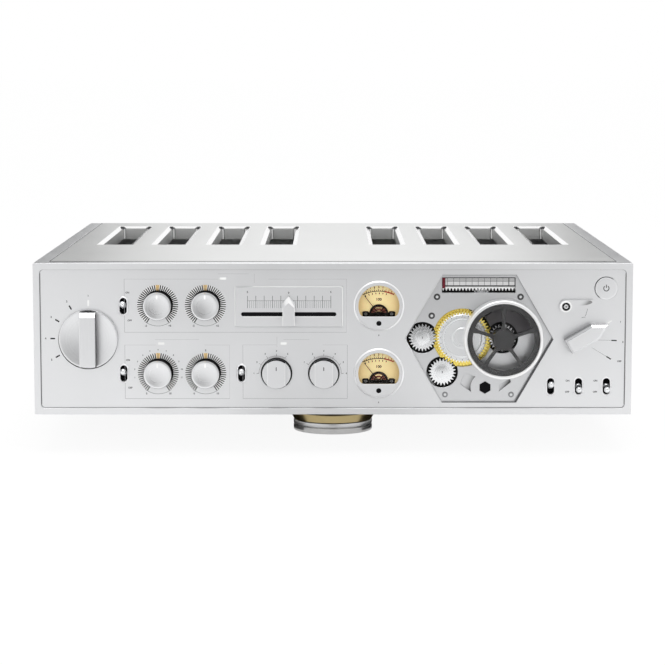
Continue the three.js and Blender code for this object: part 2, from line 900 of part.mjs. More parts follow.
// A long slot whose corners open into small round ears.
function earedSlot(low, high) {
  const [x0, y0] = low;
  const [x1, y1] = high;
  const e = ventEar;
  const path = new THREE.Path();
  path.moveTo(x0 + e, y0);
  path.lineTo(x1 - e, y0);
  path.absarc(x1, y0, e, Math.PI, Math.PI * 2.5, false);
  path.lineTo(x1, y1 - e);
  path.absarc(x1, y1, e, -Math.PI / 2, Math.PI, false);
  path.lineTo(x0 + e, y1);
  path.absarc(x0, y1, e, 0, Math.PI * 1.5, false);
  path.lineTo(x0, y0 + e);
  path.absarc(x0, y0, e, Math.PI / 2, Math.PI * 2, false);
  path.closePath();
  return path;
}

// The wide sloped edge round a vent, as a cutter that widens upwards.
function slopedRecess(low, high) {
  const rise = ventBevelDrop + cut;
  const spread = (ventBevel / ventBevelDrop) * rise;
  const ring = (grow, z) => [
    [low[0] - grow, low[1] - grow, z],
    [high[0] + grow, low[1] - grow, z],
    [high[0] + grow, high[1] + grow, z],
    [low[0] - grow, high[1] + grow, z],
  ];
  const floor = caseHeight - ventBevelDrop;
  const positions = [...ring(0, floor), ...ring(spread, floor + rise)].flat();
  const index = [0, 2, 1, 0, 3, 2, 4, 5, 6, 4, 6, 7];
  for (let i = 0; i < 4; i++) {
    const next = (i + 1) % 4;
    index.push(i, next, next + 4, i, next + 4, i + 4);
  }
  const geometry = new THREE.BufferGeometry();
  geometry.setAttribute("position", new THREE.Float32BufferAttribute(positions, 3));
  geometry.setIndex(index);
  return solid(geometry);
}

function sidePanel(side) {
  const outer = (side * caseWidth) / 2;
  const inner = outer - side * sideThick;
  return block(
    [Math.min(inner, outer), bodyFrontY, 0],
    [Math.max(inner, outer), caseDepth, caseHeight],
  );
}

function bottomPlate() {
  return block([-innerHalf, bodyFrontY, 0], [innerHalf, caseDepth, bottomThick]);
}

const jackZone = [
  jackX - ((jackPairs - 1) * jackPitch) / 2,
  jackX + ((jackPairs - 1) * jackPitch) / 2,
];
const postZone = [postX - ((postCount - 1) * postPitch) / 2, postX + ((postCount - 1) * postPitch) / 2];

function rearPanel() {
  const panel = rectShape(-innerHalf, bottomThick + seat, innerHalf, caseHeight - topThick - seat);
  panel.holes.push(
    rectShape(
      inletX - inletWide / 2 + inletFloor - seat,
      inletZ - inletTall / 2 + inletFloor - seat,
      inletX + inletWide / 2 - inletFloor + seat,
      inletZ + inletTall / 2 - inletFloor + seat,
      THREE.Path,
    ),
  );
  return plate(panel, caseDepth - rearThick, caseDepth);
}

// The mains inlet: a flanged socket whose mouth faces back, with three blades.
function powerInlet() {
  const flangeY = caseDepth + seat;
  const mouthY = flangeY + inletProud;
  const floorY = mouthY - inletDeep;
  const flange = plate(
    roundRect(
      inletX - inletWide / 2,
      inletZ - inletTall / 2,
      inletX + inletWide / 2,
      inletZ + inletTall / 2,
      inletFloor,
    ),
    flangeY,
    mouthY,
  );
  const halfWide = inletWide / 2 - inletFloor;
  const halfTall = inletTall / 2 - inletFloor;
  const tub = block(
    [inletX - halfWide, floorY - inletFloor, inletZ - halfTall],
    [inletX + halfWide, mouthY - inletProud / 2, inletZ + halfTall],
  );
  const mouthWide = inletWide / 2 - inletWall;
  const mouthTall = inletTall / 2 - inletWall;
  const mouth = block(
    [inletX - mouthWide, floorY, inletZ - mouthTall],
    [inletX + mouthWide, mouthY + cut, inletZ + mouthTall],
  );
  const blades = [-1, 0, 1].map((place) => {
    const x = inletX + (place * mouthWide) / 2;
    const z = inletZ + (place === 0 ? bladeTall / 2 : -bladeTall / 2);
    return block(
      [x - bladeWide / 2, floorY - inletFloor / 2, z - bladeTall / 2],
      [x + bladeWide / 2, floorY + bladeLong, z + bladeTall / 2],
    );
  });
  return joined(carved(joined(flange, tub), mouth), ...blades);
}

// Two rows of input jacks on one plate.
function inputJacks() {
  const backY = caseDepth + seat + jackPlate;
  const base = plate(
    rectShape(
      jackZone[0] - jackMargin,
      jackZ - jackTierGap / 2 - jackMargin,
      jackZone[1] + jackMargin,
      jackZ + jackTierGap / 2 + jackMargin,
    ),
    caseDepth + seat,
    backY,
  );
  const jacks = [];
  for (let column = 0; column < jackPairs; column++) {
    for (const row of [-1, 1]) {
      const profile = [
        [0, backY - jackPlate / 2],
        [jackRadius + jackPlate / 2, backY - jackPlate / 2],
        [jackRadius + jackPlate / 2, backY + jackPlate],
        [jackRadius, backY + jackPlate],
        [jackRadius, backY + jackTall],
        [0, backY + jackTall],
      ];
      const x = jackZone[0] + column * jackPitch;
      jacks.push(turned(profile, x, jackZ + (row * jackTierGap) / 2, tinySides));
    }
  }
  return joined(base, ...jacks);
}

// Four speaker binding posts on one plate.
function speakerPosts() {
  const backY = caseDepth + seat + jackPlate;
  const base = plate(
    rectShape(
      postZone[0] - postPitch / 2,
      postZ - postPitch / 2,
      postZone[1] + postPitch / 2,
      postZ + postPitch / 2,
    ),
    caseDepth + seat,
    backY,
  );
  const posts = Array.from({ length: postCount }, (_, i) => {
    const profile = [
      [0, backY - jackPlate / 2],
      [postRadius, backY - jackPlate / 2],
      [postRadius, backY + jackPlate],
      [postRadius / 2, backY + jackPlate],
      [postRadius / 2, backY + jackTall / 2],
      [postRadius, backY + jackTall / 2],
      [postRadius, backY + postTall - jackPlate],
      [postRadius - jackPlate, backY + postTall],
      [0, backY + postTall],
    ];
    return turned(profile, postZone[0] + i * postPitch, postZ, tinySides);
  });
  return joined(base, ...posts);
}

// A disc foot: neck, core and grooved disc in one, with a tapered ring round the core.
const footTopZ = -seat;
const footNeckZ = footTopZ - footNeckTall;
const footRingTop = footNeckZ - seat;

function footBody(x, y) {
  const discTop = footRingTop - footRingTall - seat;
  const grooveTop = discTop - footUpperTall;
  const grooveLow = grooveTop - footGrooveTall;
  const profile = [
    [0, -footHeight],
    [footRadius - footChamfer, -footHeight],
    [footRadius, -footHeight + footChamfer],
    [footRadius, grooveLow],
    [footGroove, grooveLow],
    [footGroove, grooveTop],
    [footRadius, grooveTop],
    [footRadius, discTop - footChamfer],
    [footRadius - footChamfer, discTop],
    [footCore, discTop],
    [footCore, footNeckZ],
    [footNeck, footNeckZ],
    [footNeck, footTopZ],
    [0, footTopZ],
  ];
  return standing(profile, x, y, footSides);
}

function footRing(x, y) {
  const low = footRingTop - footRingTall;
  const profile = [
    [footCore + seat, low],
    [footRingNarrow, low],
    [footRingWide, footRingTop],
    [footCore + seat, footRingTop],
    [footCore + seat, low],
  ];
  return standing(profile, x, y, footSides);
}

const footPlaces = [
  ["front", 0, footSetback],
  ["rear_left", -rearFootX, caseDepth - rearFootInset],
  ["rear_right", rearFootX, caseDepth - rearFootInset],
];

// Inside the case
function heatSink(side) {
  const outer = innerHalf - sinkInset;
  const x0 = side > 0 ? outer - sinkWide : -outer;
  const floor = bottomThick + seat;
  const base = block([x0, sinkFront, floor], [x0 + sinkWide, sinkBack, floor + sinkBase]);
  const step = (sinkWide - sinkFinThick) / (sinkFins - 1);
  const fins = Array.from({ length: sinkFins }, (_, i) =>
    block(
      [x0 + i * step, sinkFront, floor + sinkBase / 2],
      [x0 + i * step + sinkFinThick, sinkBack, floor + sinkTall],
    ),
  );
  return joined(base, ...fins);
}

function transformer() {
  const low = bottomThick + seat;
  const high = low + coreTall;
  const profile = [
    [coreHole, low + coreEdge],
    [coreHole + coreEdge, low],
    [coreRadius - coreEdge, low],
    [coreRadius, low + coreEdge],
    [coreRadius, high - coreEdge],
    [coreRadius - coreEdge, high],
    [coreHole + coreEdge, high],
    [coreHole, high - coreEdge],
    [coreHole, low + coreEdge],
  ];
  return standing(profile, 0, coreY, footSides);
}

function circuitBoard() {
  const low = bottomThick + seat;
  const top = low + boardPostTall + boardThick;
  const board = block(
    [-boardWide / 2, boardY - boardDeep / 2, top - boardThick],
    [boardWide / 2, boardY + boardDeep / 2, top],
  );
  const posts = [];
  for (const sx of [-1, 1]) {
    for (const sy of [-1, 1]) {
      const x = sx * (boardWide / 2 - 2 * boardPost);
      const y = boardY + sy * (boardDeep / 2 - 2 * boardPost);
      const profile = [
        [0, low],
        [boardPost, low],
        [boardPost, top - boardThick / 2],
        [0, top - boardThick / 2],
      ];
      posts.push(standing(profile, x, y, tinySides));
    }
  }
  const cans = [];
  for (let row = 0; row < capacitorRows; row++) {
    for (const side of [-1, 1]) {
      const profile = [
        [0, top - boardThick / 2],
        [capacitorRadius, top - boardThick / 2],
        [capacitorRadius, top + capacitorTall],
        [0, top + capacitorTall],
      ];
      const y = boardY + (row - (capacitorRows - 1) / 2) * capacitorPitch;
      cans.push(standing(profile, (side * capacitorPitch) / 2, y, smallSides));
    }
  }
  return joined(board, ...posts, ...cans);
}

// Level meters
function meterWindowShape(z, inset, Kind) {
  const radius = meterWindow - inset;
  const low = meterWindowDrop - inset;
  const corner = meterWindowCorner - inset;
  const drop = low - corner;
  const start = -Math.asin((low - corner) / (radius - corner));
  const path = new Kind();
  const cornerX = (radius - corner) * Math.cos(start);
  path.absarc(meterX, z, radius, start, Math.PI - start, false);
  path.absarc(meterX - cornerX, z - drop, corner, Math.PI - start, Math.PI * 1.5, false);
  path.absarc(meterX + cornerX, z - drop, corner, -Math.PI / 2, start, false);
  path.closePath();
  return path;
}

const meterFrontY = faceY - meterProud;

function meterBezel(z) {
  const front = circlePath(meterX, z, meterRadius, THREE.Shape);
  front.holes.push(meterWindowShape(z, 0, THREE.Path));
  front.holes.push(circlePath(meterX, z - meterHoleDrop, meterHole));
  const face = plate(front, meterFrontY, faceY - seat / 2, cornerSteps * 2);
  const inner = meterCanRadius - meterCanWall;
  const can = turned(
    [
      [inner, meterFrontY + meterPlate / 2],
      [meterCanRadius, meterFrontY + meterPlate / 2],
      [meterCanRadius, faceY + meterCanDeep],
      [0, faceY + meterCanDeep],
      [0, faceY + meterCanDeep - meterCanWall],
      [inner, faceY + meterCanDeep - meterCanWall],
      [inner, meterFrontY + meterPlate / 2],
    ],
    meterX,
    z,
  );
  return joined(face, can);
}

const meterDialY = faceY + meterDialBack;

function meterDial(z) {
  const radius = meterCanRadius - meterCanWall - seat;
  const back = disc(meterX, z, radius, meterDialY, meterDialY + meterDialThick);
  const pivotZ = z - meterPivotDrop;
  const arch = new THREE.Shape();
  arch.absarc(meterX, pivotZ, meterArch, 0, Math.PI, false);
  arch.lineTo(meterX - meterWindow + meterReliefInset, pivotZ);
  arch.lineTo(meterX - meterWindow + meterReliefInset, pivotZ - meterBarTall);
  arch.lineTo(meterX + meterWindow - meterReliefInset, pivotZ - meterBarTall);
  arch.lineTo(meterX + meterWindow - meterReliefInset, pivotZ);
  arch.closePath();
  const reliefY = meterDialY - meterRelief;
  return joined(back, plate(arch, reliefY, meterDialY + meterDialThick / 2, cornerSteps * 2));
}

function meterGlassPlate(z) {
  const y = meterFrontY + seat;
  return plate(meterWindowShape(z, seat, THREE.Shape), y, y + meterGlass, cornerSteps * 2);
}

// The needle, drawn upright and turned to its resting angle, on a hub with a short pin.
function meterNeedle(z) {
  const pivotZ = z - meterPivotDrop;
  const backY = meterDialY - meterRelief - seat;
  const frontY = backY - needleThick;
  const shape = new THREE.Shape();
  shape.moveTo(meterX - needleWide / 2, pivotZ);
  shape.lineTo(meterX + needleWide / 2, pivotZ);
  shape.lineTo(meterX + needleWide / 4, pivotZ + needleLong);
  shape.lineTo(meterX - needleWide / 4, pivotZ + needleLong);
  shape.closePath();
  const hub = disc(meterX, pivotZ, needleHub, frontY - needlePin, backY);
  return spun(joined(plate(shape, frontY, backY), hub), meterX, pivotZ, -needleStart);
}

// Rotary controls
function knobShaft(x, z, fromY) {
  return disc(x, z, shaftRadius, fromY, wallBackY + shaftPast, smallSides);
}

const knobBackY = faceY - seat;

function ringKnob(x, z) {
  const frontY = knobBackY - ringKnobTall;
  const profile = [
    [0, frontY + ringKnobEdge / 2],
    [ringKnobRadius - 2 * ringKnobEdge, frontY],
    [ringKnobRadius - ringKnobEdge, frontY],
    [ringKnobRadius, frontY + ringKnobEdge],
    [ringKnobRadius, knobBackY],
    [0, knobBackY],
  ];
  const mark = block(
    [x - ringKnobMark / 2, frontY - cut, z + ringKnobRadius / 2],
    [x + ringKnobMark / 2, frontY + ringKnobEdge, z + ringKnobRadius + cut],
  );
  return carved(joined(turned(profile, x, z), knobShaft(x, z, knobBackY - cut)), mark);
}

// A round knob whose middle is a bar between two lower cheeks.
function barKnob(x, z) {
  const frontY = knobBackY - barKnobTall;
  const profile = [
    [0, frontY],
    [barKnobRadius - ringKnobEdge, frontY],
    [barKnobRadius, frontY + ringKnobEdge],
    [barKnobRadius, knobBackY],
    [0, knobBackY],
  ];
  const cheeks = [-1, 1].map((side) => {
    const inner = (side * barKnobBar) / 2;
    const outer = side * (barKnobRadius + cut);
    return block(
      [x + Math.min(inner, outer), frontY - cut, z - barKnobRadius - cut],
      [x + Math.max(inner, outer), frontY + barKnobStep, z + barKnobRadius + cut],
    );
  });
  return joined(carved(turned(profile, x, z), ...cheeks), knobShaft(x, z, knobBackY - cut));
}

// The source selector: a dished disc crossed by a grip bar with one bevelled end.
function sourceKnob() {
  const rimY = knobBackY - sourceRimTall;
  const dish = turned(
    [
      [0, knobBackY - sourceRimTall + sourceDish],
      [sourceRadius / 2, rimY + sourceDish * dishShares[0]],
      [sourceRadius * dishShares[1], rimY + sourceDish * dishShares[2]],
      [sourceRadius - ringKnobEdge, rimY],
      [sourceRadius, rimY + ringKnobEdge],
      [sourceRadius, knobBackY],
      [0, knobBackY],
    ],
    sourceX,
    sourceZ,
  );
  const frontY = knobBackY - sourceBarTall;
  const half = sourceRadius - ringKnobEdge;
  const side = new THREE.Shape();
  side.moveTo(-half, frontY);
  side.lineTo(half - sourceBarChamfer, frontY);
  side.lineTo(half, frontY + sourceBarChamfer);
  side.lineTo(half, knobBackY - seat);
  side.lineTo(-half, knobBackY - seat);
  side.closePath();
  const geometry = new THREE.ExtrudeGeometry(side, { depth: sourceBarWide, bevelEnabled: false });
  // The profile is drawn as height and depth: its first axis becomes Z and its second Y.
  geometry.applyMatrix4(
    new THREE.Matrix4().makeBasis(
      new THREE.Vector3(0, 0, 1),
      new THREE.Vector3(0, 1, 0),
      new THREE.Vector3(-1, 0, 0),
    ),
  );
  geometry.translate(sourceX + sourceBarWide / 2, 0, sourceZ);
  const round = disc(sourceX, sourceZ, sourceRadius - ringKnobEdge / 2, frontY - cut, knobBackY);
  const bar = solid(geometry).intersect(round);
  return joined(dish, bar, knobShaft(sourceX, sourceZ, knobBackY - cut));
}

// The speaker selector: an arrow with bevelled edges, drawn pointing along +X and turned to its place.
function speakerLever() {
  const wide = speakerWide / 2;
  const shape = new THREE.Shape();
  shape.moveTo(speakerX - speakerRear, speakerZ - wide);
  shape.lineTo(speakerX + speakerStraight, speakerZ - wide);
  shape.lineTo(speakerX + speakerStraight + speakerPoint, speakerZ);
  shape.lineTo(speakerX + speakerStraight, speakerZ + wide);
  shape.lineTo(speakerX - speakerRear, speakerZ + wide);
  shape.closePath();
  const points = outline(shape);
  const frontY = knobBackY - speakerTall;
  const body = loft([
    ringAt(points, frontY, speakerBevel),
    ringAt(points, frontY + speakerBevel, 0),
    ringAt(points, knobBackY, 0),
  ]);
  const turnedBody = spun(body, speakerX, speakerZ, -speakerAngle);
  return joined(turnedBody, knobShaft(speakerX, speakerZ, knobBackY - cut));
}

// The direct lever: a teardrop on a ringed boss.
function directLever() {
  const rise = radians(directRise);
  const frontY = knobBackY - directThick;
  const tipX = directX + directLong * Math.cos(rise);
  const tipZ = directZ + directLong * Math.sin(rise);
  const spread = Math.acos((directHead - directTip) / directLong);
  const shape = new THREE.Shape();
  shape.absarc(directX, directZ, directHead, rise + spread, rise + Math.PI * 2 - spread, false);
  shape.absarc(tipX, tipZ, directTip, rise - spread, rise + spread, false);
  shape.closePath();
  const points = outline(shape, cornerSteps * 2);
  const bevel = directThick / 3;
  const arm = loft([
    ringAt(points, frontY, bevel),
    ringAt(points, frontY + bevel, 0),
    ringAt(points, knobBackY, 0),
  ]);
  const boss = disc(directX, directZ, directBoss, frontY - directBossTall, knobBackY - seat, smallSides);
  return joined(arm, boss, knobShaft(directX, directZ, knobBackY - cut));
}

function powerButton() {
  const frontY = faceY - powerProud;
  const flangeY = wallBackY + seat;
  const profile = [
    [0, frontY],
    [powerRadius - powerProud, frontY],
    [powerRadius, frontY + powerProud],
    [powerRadius, flangeY],
    [powerFlange, flangeY],
    [powerFlange, flangeY + powerFlangeThick],
    [0, flangeY + powerFlangeThick],
  ];
  return turned(profile, powerX, powerZ);
}

// A toggle lever: a ball in its slot and a bat handle with a round end, tilted up or down.
function toggleLever(x, z, up) {
  const pivotY = faceY + toggleBall;
  const profile = [
    [0, toggleBall],
    [toggleBall * ballShares[0], toggleBall * ballShares[0]],
    [toggleBall, 0],
    [toggleBall * ballShares[0], -toggleBall * ballShares[0]],
    [toggleTip * ballShares[1], -toggleBall * ballShares[2]],
    [toggleTip, -toggleLong + toggleTip],
    [toggleTip * ballShares[0], -toggleLong + toggleTip * (1 - ballShares[0])],
    [0, -toggleLong],
  ];
  const lever = turned(profile, 0, 0, smallSides);
  return lever.rotate([-up * toggleTilt, 0, 0]).translate([x, pivotY, z]);
}

// Balance slider
function balancePlate() {
  const shape = rectShape(
    balanceX - balanceWide / 2,
    balanceZ - balanceTall / 2,
    balanceX + balanceWide / 2,
    balanceZ + balanceTall / 2,
  );
  const slotX0 = balanceX - balanceSlotLong / 2;
  const slotX1 = balanceX + balanceSlotLong / 2;
  const radius = balanceSlotTall / 2;
  shape.holes.push(
    roundRect(slotX0, balanceSlotZ - radius, slotX1, balanceSlotZ + radius, radius, THREE.Path),
  );
  const points = outline(
    rectShape(
      balanceX - balanceWide / 2,
      balanceZ - balanceTall / 2,
      balanceX + balanceWide / 2,
      balanceZ + balanceTall / 2,
    ),
  );
  return plate(shape, faceY - balanceProud, wallBackY).intersect(
    loft([
      ringAt(points, faceY - balanceProud, balanceProud),
      ringAt(points, faceY, 0),
      ringAt(points, wallBackY, 0),
    ]),
  );
}

// The slider's cap: a pentagon with its corner up and bevelled upper edges, on a blade through the slot.
function balanceCap() {
  const backY = faceY - balanceProud - seat;
  const frontY = backY - capProud;
  const wide = capWide / 2;
  const ring = (inset, y) => [
    new THREE.Vector3(balanceX - wide, y, capLow),
    new THREE.Vector3(balanceX + wide, y, capLow),
    new THREE.Vector3(balanceX + wide, y, capShoulder - inset),
    new THREE.Vector3(balanceX, y, capHigh - inset * Math.SQRT2),
    new THREE.Vector3(balanceX - wide, y, capShoulder - inset),
  ];
  const cap = loft([ring(capBevel, frontY), ring(0, frontY + capBevel), ring(0, backY)]);
  const half = balanceSlotTall / 2 - seat;
  const blade = block(
    [balanceX - wide / 2, backY - seat, balanceSlotZ - half],
    [balanceX + wide / 2, wallBackY + shaftPast / 2, balanceSlotZ + half],
  );
  return joined(cap, blade);
}

// Gear plate with the openings of the train, the scale window, and the round and hexagonal details
function gearPlate() {
  const shape = hexagon(hexX, hexZ, hexFlats + 2 * hexLedge - 2 * seat, true);
  const whole = plate(shape, gearPlateY, gearPlateBackY);
  const fromY = gearPlateY - cut;
  const toY = gearPlateBackY + cut;
  const openings = [
    disc(mainX, mainZ, mainTip + mainClear, fromY, toY),
    disc(dialX, dialZ, recessRadius, fromY, toY),
    ...idlerPlaces.map(([x, z]) => disc(x, z, recessRadius, fromY, toY)),
    block([windowLeft, fromY, windowLow], [windowRight, toY, windowHigh]),
    plate(hexagon(boltHoleX, boltHoleZ, boltHoleRadius * Math.sqrt(3), false), fromY, toY),
    dialWindow(fromY, toY),
  ];
  const sunk = fans.map(([outer, innerSpan, outerSpan]) => {
    const fan = sector(boltHoleX, boltHoleZ, fanInner, outer, innerSpan, outerSpan);
    return plate(fan, fromY, gearPlateY + fanDepth);
  });
  return carved(whole, ...openings, ...sunk);
}

// Part of a ring; its inner and outer arcs each run between two angles in degrees.
function sector(x, z, inner, outer, innerSpan, outerSpan) {
  const shape = new THREE.Shape();
  shape.absarc(x, z, outer, radians(outerSpan[0]), radians(outerSpan[1]), false);
  shape.absarc(x, z, inner, radians(innerSpan[1]), radians(innerSpan[0]), true);
  shape.closePath();
  return shape;
}

// The upper half behind the dial is open, so that the train shows through it.
function dialWindow(fromY, toY) {
  const inner = recessRadius - gearModule;
  const outer = dialRadius - dialRing - dialLedge;
  const opening = sector(dialX, dialZ, inner, outer, dialWindowSpan, dialWindowSpan);
  return plate(opening, fromY, toY);
}

// The bridge behind the gear plate carries the rear ends of the shafts on pillars at the screws.
function gearBridge() {
  const shape = hexagon(hexX, hexZ, hexFlats - 2 * bridgeThick, true);
  const centres = [[mainX, mainZ], [dialX, dialZ], [pinionX, pinionZ], ...idlerPlaces];
  const bores = centres.map(([x, z]) => disc(x, z, gearShaft + seat, bridgeY - cut, bridgeBackY + cut));
  const pillars = screwPlaces.map(([x, z]) =>
    disc(x, z, pillarRadius, gearPlateBackY + seat, bridgeY + bridgeThick / 2, tinySides),
  );
  return joined(carved(plate(shape, bridgeY, bridgeBackY), ...bores), ...pillars);
}

function gearBody(x, z, teeth, phase, fromY, toY) {
  return plate(gearShape(x, z, teeth, phase), fromY, toY, 1);
}

function idlerGear([x, z], degrees) {
  const phase = meshPhase(largeTeeth, mainPhase, radians(degrees), smallTeeth);
  const frontY = gearFrontY - idlerHubTall;
  return joined(
    gearBody(x, z, smallTeeth, phase, gearFrontY, gearBackY),
    disc(x, z, idlerHub, frontY, gearBackY - seat, smallSides),
    disc(x, z, gearShaft, gearBackY - seat, shaftEndY),
  );
}

// The main gear turns as one stack: a bright disc, a toothed ring and a rear gear on the shaft.
function mainDisc() {
  const backY = gearFrontY - seat;
  return joined(
    disc(mainX, mainZ, discRadius, backY - discThick, backY),
    disc(mainX, mainZ, discHub, backY - discThick - discHubTall, backY - discThick / 2),
  );
}

function mainRing() {
  return carved(
    gearBody(mainX, mainZ, largeTeeth, mainPhase, gearFrontY, gearBackY),
    disc(mainX, mainZ, gearShaft + seat, gearFrontY - cut, gearBackY + cut, smallSides),
  );
}

function mainRearGear() {
  return joined(
    gearBody(mainX, mainZ, largeTeeth, mainPhase, rearPlaneY, rearPlaneY + rackThick),
    disc(mainX, mainZ, gearShaft, gearFrontY, shaftEndY, smallSides),
  );
}

function rackPinion() {
  const phase = meshPhase(largeTeeth, mainPhase, pinionDirection, smallTeeth);
  return joined(
    gearBody(pinionX, pinionZ, smallTeeth, phase, rearPlaneY, rearPlaneY + rackThick),
    disc(pinionX, pinionZ, gearShaft, rearPlaneY + seat, shaftEndY),
  );
}

// The rack: teeth on its lower edge, with a gap where the pinion's tooth stands.
function volumeRack() {
  const pinionPhase = meshPhase(largeTeeth, mainPhase, pinionDirection, smallTeeth);
  const share = (Math.PI / 2 - pinionPhase) / ((2 * Math.PI) / smallTeeth);
  const firstTooth = pinionX - toothPitch * (0.5 - share);
  const steps = Math.ceil((rackLeft - firstTooth) / toothPitch);
  const count = Math.floor((rackRight - rackLeft) / toothPitch) - 1;
  const tipZ = rackPitchZ - gearModule * addendumShare;
  const rootZ = rackPitchZ + gearModule * dedendumShare;
  const shape = new THREE.Shape();
  shape.moveTo(rackLeft - toothPitch / 2, rootZ);
  for (let i = 0; i < count; i++) {
    const middle = firstTooth + (steps + i) * toothPitch;
    const wide = halfTooth(rackPitchZ - rootZ);
    const narrow = halfTooth(rackPitchZ - tipZ);
    shape.lineTo(middle - wide, rootZ);
    shape.lineTo(middle - narrow, tipZ);
    shape.lineTo(middle + narrow, tipZ);
    shape.lineTo(middle + wide, rootZ);
  }
  shape.lineTo(rackRight, rootZ);
  shape.lineTo(rackRight, rackTop);
  shape.lineTo(rackLeft - toothPitch / 2, rackTop);
  shape.closePath();
  return plate(shape, rearPlaneY, rearPlaneY + rackThick);
}

// The pointer stands on the rack and reaches up in front of the scale.
const scaleY = gearPlateBackY - seat - scaleThick;

function volumePointer() {
  const x0 = windowLeft + seat;
  const frontY = scaleY - seat - pointerThick;
  const low = rackPitchZ + gearModule * dedendumShare + seat;
  const flag = block([x0, frontY, low], [x0 + pointerWide, frontY + pointerThick, windowHigh - seat]);
  const foot = block([x0, frontY, low], [x0 + pointerWide, rearPlaneY - seat, rackTop]);
  return joined(flag, foot);
}

function scaleStrip() {
  return block(
    [windowLeft + seat, scaleY, scaleLow],
    [windowRight - seat, scaleY + scaleThick, windowHigh - seat],
  );
}

// Volume dial: a bright tube, a dark spoked frame inside it, a glass in front and a pinion behind
const dialBackY = gearFrontY - seat - discThick - discHubTall - dialClear;
const dialFrontY = dialBackY - dialTall;
const dialBore = dialRadius - dialRing;
const spiderY = dialFrontY + dialStrutSink;

function volumeDial() {
  const lip = dialRing / 3;
  return turned(
    [
      [dialBore, dialFrontY],
      [dialRadius - lip, dialFrontY],
      [dialRadius, dialFrontY + lip],
      [dialRadius, dialBackY],
      [dialBore, dialBackY],
      [dialBore, dialFrontY],
    ],
    dialX,
    dialZ,
  );
}

function dialSpider() {
  const outer = dialBore - seat;
  const inner = dialBore - dialLedge;
  const backY = spiderY + dialStrutThick;
  const ring = turned(ringProfile(inner, outer, spiderY, backY), dialX, dialZ);
  const hub = disc(dialX, dialZ, dialHub, spiderY, dialBackY - seat, smallSides);
  const spokes = Array.from({ length: dialSpokeCount }, (_, i) => {
    const spoke = block(
      [dialX - dialStrutWide / 2, spiderY, dialZ + dialHub / 2],
      [dialX + dialStrutWide / 2, backY, dialZ + inner + dialLedge / 2],
    );
    return spun(spoke, dialX, dialZ, (i * 360) / dialSpokeCount);
  });
  return joined(ring, hub, ...spokes);
}

function dialGlassDisc() {
  const backY = spiderY - seat;
  return disc(dialX, dialZ, dialBore - seat, backY - dialGlass, backY);
}

function dialPinion() {
  const phase = meshPhase(largeTeeth, mainPhase, 0, smallTeeth);
  return joined(
    gearBody(dialX, dialZ, smallTeeth, phase, gearFrontY, gearBackY),
    disc(dialX, dialZ, gearShaft, dialBackY, shaftEndY),
  );
}

// The assembly
const amplifier = new THREE.Group();
const shell = new THREE.Group();
const controls = new THREE.Group();
const train = new THREE.Group();
const meters = new THREE.Group();
const rear = new THREE.Group();
const inside = new THREE.Group();

shell.add(
  piece("front_panel", frontPanel(), silver),
  piece("top_cover", topCover(), silver),
  piece("side_panel_left", sidePanel(-1), silver),
  piece("side_panel_right", sidePanel(1), silver),
  piece("bottom_plate", bottomPlate(), silver),
  piece("rear_panel", rearPanel(), silver),
);
for (const [place, x, y] of footPlaces) {
  shell.add(piece("foot_" + place, footBody(x, y), brightSteel));
  shell.add(piece("foot_ring_" + place, footRing(x, y), gold));
}

inside.add(
  piece("heat_sink_left", heatSink(-1), black),
  piece("heat_sink_right", heatSink(1), black),
  piece("transformer", transformer(), winding),
  piece("circuit_board", circuitBoard(), boardGreen),
);

meterRows.forEach((z, row) => {
  const place = row ? "lower" : "upper";
  meters.add(
    piece("meter_bezel_" + place, meterBezel(z), silver),
    piece("meter_dial_" + place, meterDial(z), amber),
    piece("meter_glass_" + place, meterGlassPlate(z), clear),
    piece("meter_needle_" + place, meterNeedle(z), black),
  );
});

controls.add(
  piece("balance_plate", balancePlate(), silver),
  piece("balance_cap", balanceCap(), silver),
  piece("source_knob", sourceKnob(), silver),
  piece("speaker_lever", speakerLever(), silver),
  piece("direct_lever", directLever(), silver),
  piece("power_button", powerButton(), silver),
);
for (const [name, x, z] of knobPlaces) controls.add(piece(name, ringKnob(x, z), silver));
barColumns.forEach((x, i) => {
  controls.add(piece(i ? "capacitance_knob" : "load_knob", barKnob(x, lowerRow), silver));
});
for (const [name, x, z, up] of togglePlaces) {
  controls.add(piece(name, toggleLever(x, z, up), brightSteel));
}

train.add(
  piece("gear_plate", gearPlate(), silver),
  piece("gear_bridge", gearBridge(), black),
  piece("main_gear_disc", mainDisc(), brightSteel),
  piece("main_gear_ring", mainRing(), gold),
  piece("main_gear_rear", mainRearGear(), gold),
  piece("idler_gear_left", idlerGear(idlerPlaces[0], idlerDirections[0]), brightSteel),
  piece("idler_gear_lower", idlerGear(idlerPlaces[1], idlerDirections[1]), brightSteel),
  piece("rack_pinion", rackPinion(), brightSteel),
  piece("volume_rack", volumeRack(), white),
  piece("volume_pointer", volumePointer(), red),
  piece("scale_strip", scaleStrip(), white),
  piece("volume_dial", volumeDial(), brightSteel),
  piece("dial_spider", dialSpider(), black),
  piece("dial_glass", dialGlassDisc(), clear),
  piece("dial_pinion", dialPinion(), brightSteel),
);

rear.add(
  piece("power_inlet", powerInlet(), black),
  piece("input_jacks", inputJacks(), gold),
  piece("speaker_posts", speakerPosts(), gold),
);

amplifier.add(shell, controls, train, meters, rear, inside);

// The whole is moved so that its origin lies under the middle of its box.
const foremostY = dialFrontY;
const rearmostY = caseDepth + seat + jackPlate + postTall;
amplifier.position.set(0, -(foremostY + rearmostY) / 2, footHeight);

export default amplifier;
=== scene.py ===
# %% [markdown]
# An integrated amplifier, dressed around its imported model.
# The real one is a low aluminium case with turned knobs and a gear train that is open to view. Its
# pieces could all be built again from nothing, but the model already holds each one at its real size
# and place. So every piece keeps its place and gets its finish here, gives way to a smoother piece of
# the same size where it is round, and carries the ribs, marks and small screws that are too fine for
# the model.

